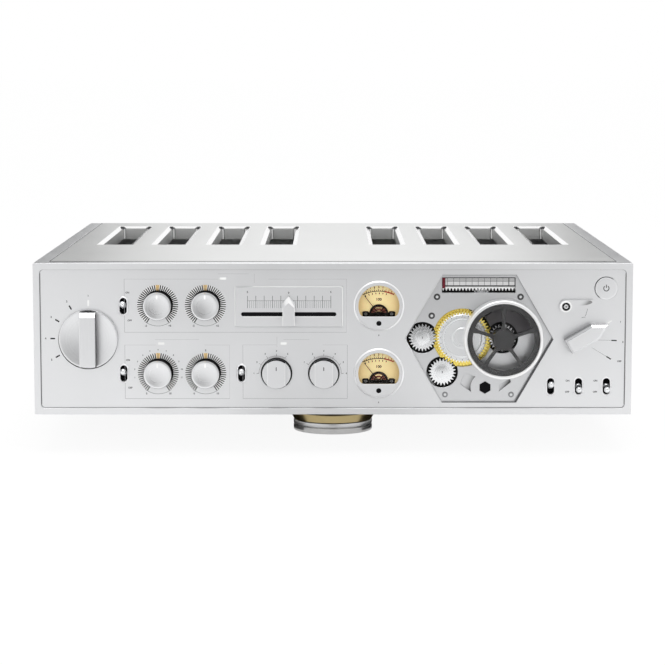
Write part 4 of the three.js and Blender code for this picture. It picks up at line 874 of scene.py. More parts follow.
def cover_seams(bm):
    """The dark joints round the top cover."""
    low, high = local_box("top_cover")
    top = high[2] + 0.02
    for x0, back0, x1, back1 in (
        (low[0], low[1] - 0.3, high[0], low[1] + 1.8),
        (low[0] - 0.35, low[1], low[0] + 0.35, high[1]),
        (high[0] - 0.35, low[1], high[0] + 0.35, high[1]),
    ):
        corners = [(x0, back0), (x1, back0), (x1, back1), (x0, back1)]
        low_ring = [bm.verts.new(at(x, back, top - 0.3)) for x, back in corners]
        high_ring = [bm.verts.new(at(x, back, top)) for x, back in corners]
        bm.faces.new(low_ring)
        bm.faces.new(high_ring)
        for i in range(4):
            bm.faces.new((low_ring[i], low_ring[(i + 1) % 4], high_ring[(i + 1) % 4], high_ring[i]))


marks("cover_joints", engraved_and_shade, cover_seams)
VENT_STEP, VENT_WIDE, VENT_END = 46.4, 24, 385
cover_low, cover_high = local_box("top_cover")


def upright(bm, x, back, radius, low, high, sides=24):
    """A small upright cylinder."""
    rings = []
    for up in (low, high):
        corners = [
            (x + math.cos(a) * radius, back + math.sin(a) * radius)
            for a in (2 * math.pi * i / sides for i in range(sides))
        ]
        rings.append([bm.verts.new(at(px, pb, up)) for px, pb in corners])
    bm.faces.new(rings[0])
    bm.faces.new(list(reversed(rings[1])))
    for i in range(sides):
        j = (i + 1) % sides
        bm.faces.new((rings[0][i], rings[0][j], rings[1][j], rings[1][i]))


def vent_corners(beyond):
    for pair in range(4):
        for side in (-1, 1):
            for end in (-1, 1):
                yield side * VENT_STEP * (pair + 1) + end * (VENT_WIDE / 2 + beyond), VENT_END + beyond


def corner_mouths(bm):
    """Painted shade: dark cylinders in the round bores at the rear corners of each vent."""
    for x, back in vent_corners(0.9):
        upright(bm, x, back, 1.6, cover_high[2] - 3.4, cover_high[2] - 0.1)


def corner_glints(bm):
    """Painted highlight: a white rod down the wall of each bore."""
    for x, back in vent_corners(-1.2):
        upright(bm, x, back, 0.8, cover_low[2] + 0.4, cover_high[2] - 2.4)


marks("vent_bore_shades", engraved_and_shade, corner_mouths)
marks("vent_glints", enamel_and_highlight, corner_glints)
print("case plates eased")

# %% [markdown]
# Inside, only what shows through the vents matters: two heat sinks with upright fins, a wound ring
# transformer and a board with capacitors. A dark floor would hide that there is nothing there, but
# the vents look down on it from above. So the fins are real blocks on a base, the ring is turned with
# rounded edges, and the board keeps the model's shape under green lacquer.

# %% Inside the case
for side in ("left", "right"):
    node = "heat_sink_" + side
    low, high = local_box(node)
    fins, thick = 9, 2.2
    pitch = (high[0] - low[0] - thick) / (fins - 1)
    long, tall = high[1] - low[1], high[2] - low[2] - 2
    foot = box_outline(low[0], low[2], high[0], low[2] + 6)
    marks(node + "_base", sink_grey, lambda bm: prism(bm, foot, low[1], high[1]), replaces=(node,))
    grown = rows.grow(
        node + "_fins",
        sink_grey,
        "chassis",
        Count=fins,
        First=at(low[0] + thick / 2, (low[1] + high[1]) / 2, (low[2] + high[2]) / 2 + 1),
        Step=(pitch * MM, 0, 0),
        Size=(thick * MM, long * MM, tall * MM),
    )
    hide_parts(node)


def paint(node, material):
    """Gives a model piece its finish as it stands."""
    data = nodes[node].data
    data.materials.clear()
    data.materials.append(material)


paint("circuit_board", board_green)


def ring_core():
    """The wound ring: a tube whose section is a square with round corners."""
    low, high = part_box("transformer")
    centre = (Vector(low) + Vector(high)) / 2
    outer = (high.x - low.x) / 2
    inner, middle, edge = 0.022, centre.z, (high.z - low.z) / 2
    profile = []
    for i in range(33):
        angle = 2 * math.pi * i / 32
        wide = (outer - inner) / 2
        squeeze = (abs(math.cos(angle)) ** 4 + abs(math.sin(angle)) ** 4) ** -0.25
        radius = (outer + inner) / 2 + wide * math.cos(angle) * squeeze
        profile.append((radius, middle + edge * math.sin(angle) * squeeze))
    bm = bmesh.new()
    turned(bm, profile, centre, 2, 120)
    data = to_mesh(bm, "transformer_core")
    settle(data, "transformer_core", varnish, "transformer", replaces=("transformer",))


ring_core()
print("inside dressed")

# %% [markdown]
# The front is a thick plate with a raised rim, a face 1.5 mm behind it and a hexagonal window with a
# narrow bevel. It could be one body cut by booleans, but chamfers come out cleaner on flat plates. So
# the face with its true round openings, the rim, and the frame behind both are three plates. Fine
# lines frame the groups of controls in a darker grey, with paler lines of painted highlight where
# their edges catch the light. Painted shade along the rim's inner edge and ends and along the
# window's edges is drawn in the same way.

# %% Front panel
SOURCE = (-190.3, 59.6)
RING_KNOBS = {
    "bass": (-136.3, 85.6),
    "treble": (-99.2, 85.6),
    "filter": (-136.3, 32.2),
    "gain": (-99.2, 32.2),
}
BAR_KNOBS = {"load": (-44, 32.2), "capacitance": (-7.1, 32.2)}
METERS = {"upper": (35.8, 85.1), "lower": (35.8, 32.2)}
TOGGLES = {
    "toggle_tone": (-163.2, 85, 1),
    "toggle_crossover": (-163.2, 32.1, 1),
    "toggle_input": (-71.3, 32.1, 1),
    "toggle_function_left": (170.1, 22, 1),
    "toggle_function_middle": (191.85, 22, -1),
    "toggle_function_right": (213.6, 22, -1),
}
POWER = (212.5, 98.9)
DIRECT = (181, 85)
SPEAKER = (191.6, 58.8)
SLOT = (5.6, 12.8)
BAR_GAP = 12.2
POWER_HOLE = 9.1

RIM = 5
HEX = (113.8, 59.3)
HEX_FLATS, HEX_BEVEL = 100.4, 0.5
PLATE_BACK, FRAME_BACK = 6.5, 14  # the backs of the face's plate and of the frame behind it


def hex_outline(flats):
    return circle_outline(*HEX, flats / math.sqrt(3), 6)


def grown_box(low, high, grow):
    """The front outline of a box, made larger on all sides."""
    return box_outline(low[0] - grow, low[2] - grow, high[0] + grow, high[2] + grow)


balance_low, balance_high = local_box("balance_plate")
balance_hole = grown_box(balance_low, balance_high, 0.3)
face_holes = [circle_outline(*POWER, POWER_HOLE), hex_outline(HEX_FLATS + 1)]
face_holes += [circle_outline(x, up, 18.9) for x, up in METERS.values()]
face_holes += [circle_outline(x, up, BAR_GAP) for x, up in BAR_KNOBS.values()]
face_holes += [slot_outline(x, up, *SLOT) for x, up, _ in TOGGLES.values()]
face_holes += [balance_hole]
inner = box_outline(-HALF + RIM - 0.1, RIM - 0.1, HALF - RIM + 0.1, TALL - RIM + 0.1)
cut_plate("front_face", satin, "front_panel", inner, face_holes, FACE, PLATE_BACK, 0.18, ("front_panel",))
rim_outer = box_outline(-HALF, 0, HALF, TALL, 0.8)
rim_inner = box_outline(-HALF + RIM, RIM, HALF - RIM, TALL - RIM, 3, 10)
cut_plate("front_rim", satin, "front_panel", rim_outer, [rim_inner], 0, PLATE_BACK, 0.12, ("front_panel",))
# Painted shade: a grey ring along the rim's inner edge, lying on the face.
gap_inner = box_outline(-HALF + RIM + 0.5, RIM + 0.55, HALF - RIM - 0.5, TALL - RIM - 0.25, 2.7, 10)
gap_depth = (FACE - 0.04, FACE + 0.1)
cut_plate(
    "rim_shadow_gap", faint_line, "front_panel", rim_inner, [gap_inner], *gap_depth, slot="dark_frame"
)
rim_grey = moulded("rim_grey", (0.16, 0.16, 0.165), 0.5)


def rim_shade(bm):
    """Painted shade on the inner sides of the rim at both ends."""
    for x in (-HALF + RIM + 0.35, HALF - RIM - 0.35):
        bar_into(bm, x - 0.35, RIM + 3, x + 0.35, TALL - RIM - 3, FACE - 0.05)


marks("rim_shade", rim_grey, rim_shade)
back_inner = box_outline(-HALF + 8, 8, HALF - 8, TALL - 8)
frame_depth = (PLATE_BACK, FRAME_BACK)
cut_plate(
    "front_back_frame", satin, "front_panel", rim_outer, [back_inner], *frame_depth, 0, ("front_panel",)
)


def hex_edge():
    """The bevel round the hexagonal opening."""
    across = 1 / math.sqrt(3)
    beyond, narrow = HEX_FLATS + 1.2, HEX_FLATS - 2 * HEX_BEVEL
    deep = FACE + HEX_BEVEL
    steps = [(beyond, FACE + 0.02), (HEX_FLATS, FACE + 0.02), (narrow, deep)]
    steps += [(narrow, deep + 0.25), (beyond, deep + 0.25), (beyond, FACE + 0.02)]
    bm = bmesh.new()
    turned(bm, mm_profile([(flats * across, back) for flats, back in steps]), at(HEX[0], 0, HEX[1]), 1, 6)
    return settle(to_mesh(bm, "hex_edge"), "hex_edge", satin, "front_panel", replaces=("front_panel",))


hex_edge()


def hex_shade(bm):
    """Painted shade: a dark line along the right-hand edges of the opening, wider towards the bottom."""
    corners = hex_outline(HEX_FLATS - 0.6)
    for start, end, wide in ((0, 5, 1.3), (5, 4, 0.45)):
        stroke_into(bm, corners[start], corners[end], wide, FACE + 0.05)


# Painted shade, in a paler grey: lines along the upper right-hand and top edges of the opening.
def hex_upper_shade(bm):
    corners = hex_outline(HEX_FLATS - 0.6)
    for start, end, wide in ((0, 1, 0.5), (1, 2, 0.35)):
        stroke_into(bm, corners[start], corners[end], wide, FACE + 0.05)


marks("hex_edge_shade", engraved_and_shade, hex_shade)
marks("hex_upper_shade", faint_line, hex_upper_shade)
for word, (x, up) in BAR_KNOBS.items():
    floor = [(0, FACE + 2.25), (BAR_GAP + 0.3, FACE + 2.25), (BAR_GAP + 0.3, 6.4), (0, 6.4)]
    lathe(word + "_well", satin, floor, x, up, "front_panel", replaces=("front_panel",))


def frame_lines(bm):
    """The engraved frames round the three groups of controls."""
    wide = 0.22
    for x0, up0, x1, up1, sides in (
        (-162.3, 64.4, 10.7, 106.2, "LB"),
        (-162.3, 12.2, -80.5, 54.6, "LB"),
        (-70.3, 12.2, 11.4, 54.7, "LRB"),
    ):
        if "L" in sides:
            bar_into(bm, x0, up0, x0 + wide, up1, FACE)
        if "R" in sides:
            bar_into(bm, x1 - wide, up0, x1, up1, FACE)
        bar_into(bm, x0, up0, x1, up0 + wide, FACE)


marks("front_frames", faint_line, frame_lines)


def frame_tops(bm):
    wide = 0.2
    for x0, x1, up in (
        (-162.3, -89, 106.2),
        (-50, 10.7, 106.2),
        (-162.3, -138, 54.6),
        (-100, -80.5, 54.6),
        (-70.3, -44, 54.7),
        (-8, 11.4, 54.7),
    ):
        bar_into(bm, x0, up - wide, x1, up, FACE)
    bar_into(bm, -80.5 - wide, 12.2, -80.5, 54.6, FACE)
    bar_into(bm, 10.7 - wide, 64.4, 10.7, 106.2, FACE)
    for x0, x1, up in ((-89.3, -65.4, 110.3), (-138.6, -104.3, 59), (-38.5, -18.3, 59)):
        bar_into(bm, x0, up - wide, x1, up, FACE)
    bar_into(bm, -60.9 - wide, 103, -60.9, 110.3, FACE)
    bar_into(bm, -43.5 - wide, 53, -43.5, 61, FACE)


# Painted highlight: paler lines along the tops and some sides of the frames, where their edges catch the
# light.
pale_line = moulded("pale_line", (0.5, 0.5, 0.51), 0.5, "satin_aluminium")
marks("front_frame_tops", pale_line, frame_tops)


def white_bars(bm):
    for x, up in ((-85.4, 106.5), (-133.8, 55.7), (-38.4, 55.7)):
        bar_into(bm, x - 2.4, up - 0.9, x + 2.4, up + 0.9, FACE)
    bar_into(bm, SOURCE[0] - 0.6, 84.9, SOURCE[0] + 0.6, 89.6, FACE)


marks("front_white_bars", enamel_and_highlight, white_bars)
print("front panel marked")

# %% [markdown]
# The source selector is a dished disc crossed by a tall grip bar. The bar could be a box with bevels,
# but its ends follow the round edge of the disc. So the disc is turned with a true dish, and the bar
# is lofted from sections across its width, each as long as the disc allows. Its finish is brushed
# along the bar.

# %% Source selector
KNOB_BACK = FACE - 0.3
KNOB_SHAFT = [(3, KNOB_BACK), (3, 12.5), (0, 12.5)]
disc_radius, rim_back, dish_deep = 23, KNOB_BACK - 3.5, 2.2


def source_disc():
    flat = disc_radius - 0.8
    profile = [(0, rim_back + dish_deep)]
    for i in range(1, 25):
        share = i / 24
        profile.append((flat * share, rim_back + dish_deep * (1 - share**2)))
    profile += [(disc_radius - 0.25, rim_back + 0.2), (disc_radius, rim_back + 0.8)]
    profile += [(disc_radius, KNOB_BACK), *KNOB_SHAFT]
    metal = turned_metal("selector_disc", SILVER, 0.36, at(SOURCE[0], 0, SOURCE[1]))
    lathe("source_disc", metal, profile, *SOURCE, node="source_knob", replaces=("source_knob",))


def source_bar():
    bm = bmesh.new()
    half, front, tip = 6.2, KNOB_BACK - 11, 3.6
    sections = []
    steps = 16
    for i in range(steps + 1):
        x = -half + 2 * half * i / steps
        reach = math.sqrt(22.6**2 - x**2)
        top = min(21, reach)
        foot = -min(21.4, reach)
        points = [
            (foot, 0.9),
            (foot, front + 0.8),
            (foot + 0.8, front),
            (top - tip, front),
            (top, front + tip),
            (top, 0.9),
        ]
        sections.append([bm.verts.new(at(SOURCE[0] + x, back, SOURCE[1] + up)) for up, back in points])
    for left, right in zip(sections, sections[1:]):
        for k in range(6):
            n = (k + 1) % 6
            bm.faces.new((left[k], left[n], right[n], right[k]))
    bm.faces.new(sections[0])
    bm.faces.new(list(reversed(sections[-1])))
    bmesh.ops.recalc_face_normals(bm, faces=bm.faces)
    edges = [e for e in bm.edges if e.calc_face_angle(0) > SHARP]
    soften(bm, edges, 0.3)
    data = to_mesh(bm, "source_grip", False)
    settle(data, "source_grip", brushed, "source_knob", replaces=("source_knob",))


def brushed_metal(name, colour, rough):
    """Metal brushed along one way: noise stretched along the bar."""
    finish = Finish(name)
    stretched = finish.vector("MULTIPLY", finish.coordinates(), (2400, 900, 30))[0]
    lines = finish.noise(1, 2.0, 0.5, stretched)
    broad = finish.noise(30, 2.0)
    dark = tuple(c * 0.9 for c in colour)
    finish.vary("Base Color", finish.between(lines, dark, colour))
    finish.vary("Roughness", lines * 0.14 + broad * 0.06 + (rough - 0.1))
    finish.constants(Metallic=1.0)
    finish.bump(lines, 0.01 * MM)
    return finish.material


brushed = brushed_metal("brushed_aluminium", SILVER, 0.36)
source_disc()
source_bar()


def source_gap(bm):
    """Painted shade: a black patch between the bar's upper end and the disc's rim."""
    points = [(SOURCE[0] + x, SOURCE[1] + math.sqrt(22.7**2 - x**2)) for x in (-6.3, -4, -2, 0, 2, 4, 6.3)]
    points = [(SOURCE[0] - 6.3, SOURCE[1] + 20.9), *points, (SOURCE[0] + 6.3, SOURCE[1] + 20.9)]
    prism(bm, points, rim_back + 0.02, rim_back + 1.2)


marks("source_cut_shade", black_and_shade, source_gap, body_of_node["source_knob"])


def seat_ring(name, centre, radius, shift):
    """Painted shadow under a knob: a black ring on the face, set off to the side where it shows."""
    x, up = centre[0] + shift[0], centre[1] + shift[1]
    marks(name, black_and_shade, lambda bm: arc_into(bm, x, up, radius - 1.2, radius, 0, 360, FACE, SUNK, 96))


seat_ring("source_seat", SOURCE, disc_radius + 0.2, (-0.45, -0.95))


def grip_side(bm):
    """Painted shade on the bar's right-hand side, which lies in its own shade."""
    x = SOURCE[0] + 6.2
    outline = box_outline(x, SOURCE[1] - 21.5, x + 0.08, SOURCE[1] + 20.5)
    prism(bm, outline, KNOB_BACK - 10.5, rim_back + 2)


marks("source_grip_side", engraved_and_shade, grip_side, body_of_node["source_knob"])
arc_ticks("source_ticks", ink_and_shade, *SOURCE, 28, -120, 30, 4, 1.1, 3.6)
print("source selector made")

# %% [markdown]
# Four ring knobs stand in the middle of a band of fine black strokes, which leaves a gap at the
# bottom. The strokes could be cut as ribs one by one, but at this size only their edges would show.
# So the band is a pale ring on the face, and each half of the strokes is grown by one tree, with
# three gilt ones at the top between them. The knob is turned slightly hollow, and a narrow line with
# a gilt tip is inlaid at its upper edge.

# %% Ring knobs
stroke_gilt = polished("stroke_gilt", (0.95, 0.62, 0.2), 0.35, "gilt_brass")
for word, (x, up) in RING_KNOBS.items():
    node = word + "_knob"
    front = KNOB_BACK - 9
    profile = [(0, front + 0.5)]
    profile += [(9.3 * i / 10, front + 0.5 * (1 - (i / 10) ** 2)) for i in range(1, 11)]
    profile += [(10.1, front), (10.55, front + 0.15), (10.9, front + 0.8), (10.9, KNOB_BACK)]
    profile += KNOB_SHAFT
    metal = turned_metal(node + "_metal", SILVER, 0.3, at(x, 0, up))
    lathe(node + "_turned", metal, profile, x, up, node=node, replaces=(node,))
    marks(
        node + "_line",
        enamel_and_highlight,
        lambda bm: bar_into(bm, x - 0.6, up + 5.6, x + 0.6, up + 9, front + 0.1),
        body_of_node[node],
    )
    marks(
        node + "_line_tip",
        stroke_gilt,
        lambda bm: bar_into(bm, x - 0.6, up + 9, x + 0.6, up + 10.4, front + 0.1),
        body_of_node[node],
    )
    marks(node + "_band", enamel_and_highlight, lambda bm: arc_into(bm, x, up, 11.4, 16, -149, 149, FACE + 0.02))
    marks(
        node + "_gilt_strokes",
        stroke_gilt,
        lambda bm: [arc_into(bm, x, up, 11.6, 16, a - 1.3, a + 1.3, FACE, SUNK, 4) for a in (-4.1, 0, 4.1)],
    )
    marks(
        node + "_gilt_gaps",
        ink_and_shade,
        lambda bm: [arc_into(bm, x, up, 11.6, 16, a - 0.4, a + 0.4, FACE, SUNK, 4) for a in (-2.05, 2.05)],
    )
    marks(node + "_hairline", engraved_and_shade, lambda bm: arc_into(bm, x, up, 16.05, 16.3, 140, 220, FACE))
    arc_ticks(node + "_strokes", ink_and_shade, x, up, 13.7, -147, 138 / 21, 22, 0.85, 4.5)
    arc_ticks(node + "_strokes_right", ink_and_shade, x, up, 13.7, 9, 138 / 21, 22, 0.85, 4.5)
    # Painted shadow round the knob.
    seat_ring(node + "_seat", (x, up), 11.4, (0.4, 0.4))
    # Painted shade: a black band on the knob's side wall.
    side_shade = [(10.85, front + 1), (10.98, front + 1.1), (10.98, KNOB_BACK - 0.02)]
    side_shade += [(10.6, KNOB_BACK - 0.02), (10.6, front + 1), (10.85, front + 1)]
    lathe(node + "_sleeve", black_and_shade, side_shade, x, up, body=body_of_node[node])
print("ring knobs made")

# %% [markdown]
# The two bar knobs are turned and then milled, which leaves a bar between two lower cheeks. A box on
# a disc would look much the same, but its ends would not run into the round. So a turned blank is cut
# by two boxes, as the mill does it. A dark arc of painted shade in the groove round each knob ends
# near the bottom, and a fine arc with ticks stands outside it.

# %% Bar knobs
for word, (x, up) in BAR_KNOBS.items():
    node = word + "_knob"
    radius, front, half, step_back = 11.1, KNOB_BACK - 9, 6.7, 4.5
    bm = bmesh.new()
    profile = [(0, front), (radius - 0.8, front), (radius - 0.2, front + 0.25), (radius, front + 0.8)]
    profile += [(radius, KNOB_BACK), *KNOB_SHAFT]
    turned(bm, mm_profile(profile), at(x, 0, up), 1, ROUND)
    data = to_mesh(bm, node + "_blank")
    cutter = bmesh.new()
    for side in (-1, 1):
        x0, x1 = sorted((x + side * half, x + side * (radius + 3)))
        cheek = [(x0, up - 14), (x1, up - 14), (x1, up + 14), (x0, up + 14)]
        prism(cutter, cheek, front - 2, front + step_back)
    data = cut_away(data, cutter)
    bm = bmesh.new()
    bm.from_mesh(data)
    bmesh.ops.dissolve_limit(bm, angle_limit=math.radians(0.5), verts=bm.verts, edges=bm.edges)
    settle(to_mesh(bm, node + "_milled"), node + "_milled", satin, node, replaces=(node,))
    marks(
        node + "_dot",
        engraved_and_shade,
        lambda bm: bar_into(bm, x - 0.35, up + 3.2, x + 0.35, up + 6, front),
        body_of_node[node],
    )
    # Painted shade: a black arc in the groove round the knob, open at the bottom.
    marks(
        node + "_groove",
        ink_and_shade,
        lambda bm: arc_into(bm, x, up, radius + 0.25, BAR_GAP - 0.1, -142, 142, FACE + 0.9, 1.2, 96),
    )

    def bar_sleeve(bm):
        """Painted shade on the knob's side wall, which lies in the shade of the groove."""
        arc_into(bm, x, up, radius - 0.1, radius + 0.06, -142, 142, front + step_back + 0.5, 3.8, 96)
        arc_into(bm, x, up, radius - 0.1, radius + 0.06, -36, 36, front + 0.9, step_back, 24)

    # Painted highlight: white lines along the bar's two edges.
    def bar_edges(bm):
        for side in (-half, half):
            bar_into(bm, x + side - 0.16, up - 8.6, x + side + 0.16, up + 8.6, front)

    marks(node + "_sleeve", black_and_shade, bar_sleeve, body_of_node[node])
    marks(node + "_edges", enamel_and_highlight, bar_edges, body_of_node[node])
    marks(
        node + "_groove_end",
        satin,
        lambda bm: arc_into(bm, x, up, radius + 0.25, BAR_GAP - 0.1, 142.4, 217.6, FACE + 0.2, 1.9, 48),
    )
    first, last = (-90, 30) if word == "load" else (-60, 90)
    marks(node + "_scale", engraved_and_shade, lambda bm: arc_into(bm, x, up, 13.6, 13.8, first, last, FACE))
    arc_ticks(
        node + "_ticks", engraved_and_shade, x, up, 14.6, first, 30, round((last - first) / 30) + 1, 0.25, 1.8
    )
print("bar knobs made")

# %% [markdown]
# The balance slider is a plate with a slot, an engraved rule, and a cap like a small house with broad
# bevels at its roof. The slot could be left open into the case, but a black strip in it gives the
# same even dark at less cost: painted shade. Plate and cap keep the model's shape with eased edges. A
# bright skin, and thin pale lines of painted highlight, stand where their edges catch the lamp.

# %% Balance slider
BALANCE_FRONT = balance_low[1]
edge_inner = grown_box(balance_low, balance_high, -0.25)
edge_front = BALANCE_FRONT - 0.02
cut_plate("balance_edge", satin, "front_panel", balance_hole, [edge_inner], edge_front, FACE + 0.6)


def balance_glint(bm):
    """Painted highlight: a bright line along the plate's top and side edges."""
    (x0, _), _, (x1, up1), _ = balance_hole
    up0 = balance_low[2] + 1
    for left, bottom, right in ((x0, up0, x0 + 0.5), (x1 - 0.5, up0, x1), (x0 + 14, up1 - 0.5, x1)):
        bar_into(bm, left, bottom, right, up1, edge_front)


marks("balance_glint", enamel_and_highlight, balance_glint)
eased("balance_plate", satin, 0.1)
eased("balance_cap", satin, 0.18)
BALANCE_X, BALANCE_UP = -34.35, 78.7
RULE_LEFT, RULE_STEP, RULE_FINE = -66.4, 6.48, 4
RULE_LOW, RULE_LINE, RULE_HIGH = 83.5, 89.2, 93.1


def balance_rule(bm):
    """Eleven long divisions on a level line, with three short ones between each two."""
    for i in range(11):
        x = RULE_LEFT + RULE_STEP * i
        bar_into(bm, x - 0.17, RULE_LOW, x + 0.17, RULE_HIGH, BALANCE_FRONT)
    bar_into(bm, RULE_LEFT, RULE_LINE, RULE_LEFT + 10 * RULE_STEP, RULE_LINE + 0.2, BALANCE_FRONT)
    for i in range(10 * RULE_FINE + 1):
        x = RULE_LEFT + RULE_STEP / RULE_FINE * i
        if i % RULE_FINE:
            bar_into(bm, x - 0.08, RULE_LOW, x + 0.08, RULE_LINE, BALANCE_FRONT)


marks("balance_rule", engraved_and_shade, balance_rule)


# Painted shade: a black strip in the slot.
def balance_felt(bm):
    reach, tall = 37.3, 1.75
    outline = []
    for side, centre in ((0, reach - tall), (1, -(reach - tall))):
        for i in range(17):
            angle = math.pi * i / 16 - math.pi / 2 + math.pi * side
            x = BALANCE_X - 0.2 + centre + tall * math.cos(angle)
            outline.append((x, BALANCE_UP + 0.15 + tall * math.sin(angle)))
    prism(bm, outline, BALANCE_FRONT + 0.2, BALANCE_FRONT + 1.4)


marks("balance_felt", black_and_shade, balance_felt)
# Painted highlight: a white line along the slot's lower edge.
slot_lip_highlight = (BALANCE_X - 35.5, BALANCE_UP - 2.15, BALANCE_X + 35.5, BALANCE_UP - 1.8, BALANCE_FRONT)
marks("balance_lip_highlight", enamel_and_highlight, lambda bm: bar_into(bm, *slot_lip_highlight))
skin("balance_cap_roof", "balance_cap", mirror, lambda normal, place: normal.z > 0.2 and normal.y < -0.2)
cap_low, cap_high = local_box("balance_cap")


# Painted highlight: white lines down both sides of the cap.
def cap_edges(bm):
    for x0, x1 in ((cap_low[0] + 0.05, cap_low[0] + 0.4), (cap_high[0] - 0.4, cap_high[0] - 0.05)):
        bar_into(bm, x0, cap_low[2] + 0.2, x1, BALANCE_UP + 5.4, cap_low[1])


marks("balance_cap_edges", enamel_and_highlight, cap_edges, body_of_node["balance_cap"])
print("balance slider made")

# %% [markdown]
# A meter's card is lit from behind, so it is brightest in the middle and browner towards both ends.
# A lamp in the meter would show this too, but its light would also leak into the case. So the card
# glows a little by itself, and its colour falls off with the distance from the middle, under a trace
# of paper fibres.


# %% Meter finishes
def lit_card(name):
    """Card lit from behind: brightest in the middle, with faint fibres."""
    finish = Finish(name)
    from_middle = finish.from_place(at(METERS["upper"][0], 0, 0))
    across = finish.node("ShaderNodeSeparateXYZ", {}, {0: from_middle})[0]
    side = across.absolute() / (18 * MM)
    fibre = finish.noise(1200, 2.0)
    tone = finish.between(side * side, (0.93, 0.74, 0.36), (0.72, 0.47, 0.16))
    pale = finish.between(fibre * 0.25, tone, (0.96, 0.84, 0.55))
    finish.vary("Base Color", pale)
    finish.vary("Emission Color", pale)
    finish.constants(Emission_Strength=0.28)
    finish.vary("Roughness", fibre * 0.2 + 0.5)
    return finish.material


card = lit_card("meter_card")
meter_ink = moulded("meter_ink", (0.012, 0.01, 0.008), 0.6, "needle_black", gloss=0.12)
meter_red = moulded("meter_red", (0.62, 0.06, 0.02), 0.5, "pointer_red")
coil_red = moulded("coil_red", (0.2, 0.035, 0.012), 0.35, "winding", scale=500)
PIVOT_DROP = 6.6
CARD_BACK = 6.1
RELIEF = 4.9


def window_outline(x, up, inset, steps=32):
    """The meter window: an arc over a straight base with round corners."""
    radius, low, corner = 16 - inset, 8.3 - inset, 4 - inset
    start = -math.asin((low - corner) / (radius - corner))
    side = (radius - corner) * math.cos(start)
    drop = low - corner
    points = []
    for cx, cz, r, first, last, count in (
        (0, 0, radius, start, math.pi - start, 2 * steps),
        (-side, -drop, corner, math.pi - start, 1.5 * math.pi, 10),
        (side, -drop, corner, -math.pi / 2, start, 10),
    ):
        for i in range(count + 1):
            angle = first + (last - first) * i / count
            points.append((x + cx + r * math.cos(angle), up + cz + r * math.sin(angle)))
    return [p for i, p in enumerate(points) if i == 0 or (Vector(p) - Vector(points[i - 1])).length > 1e-4]

# %% [markdown]
# Each level meter is a flat bezel inside a bright ring, with an arched window and glass. Behind them
# lie the card with its ticks and numbers, a red end zone, a dark base bar with an arch over the
# pivot, and a thin black needle in front. One printed disc could show all that, but it would look
# flat from the side. So each layer is a piece at its own depth, and the needle rides on its own body.

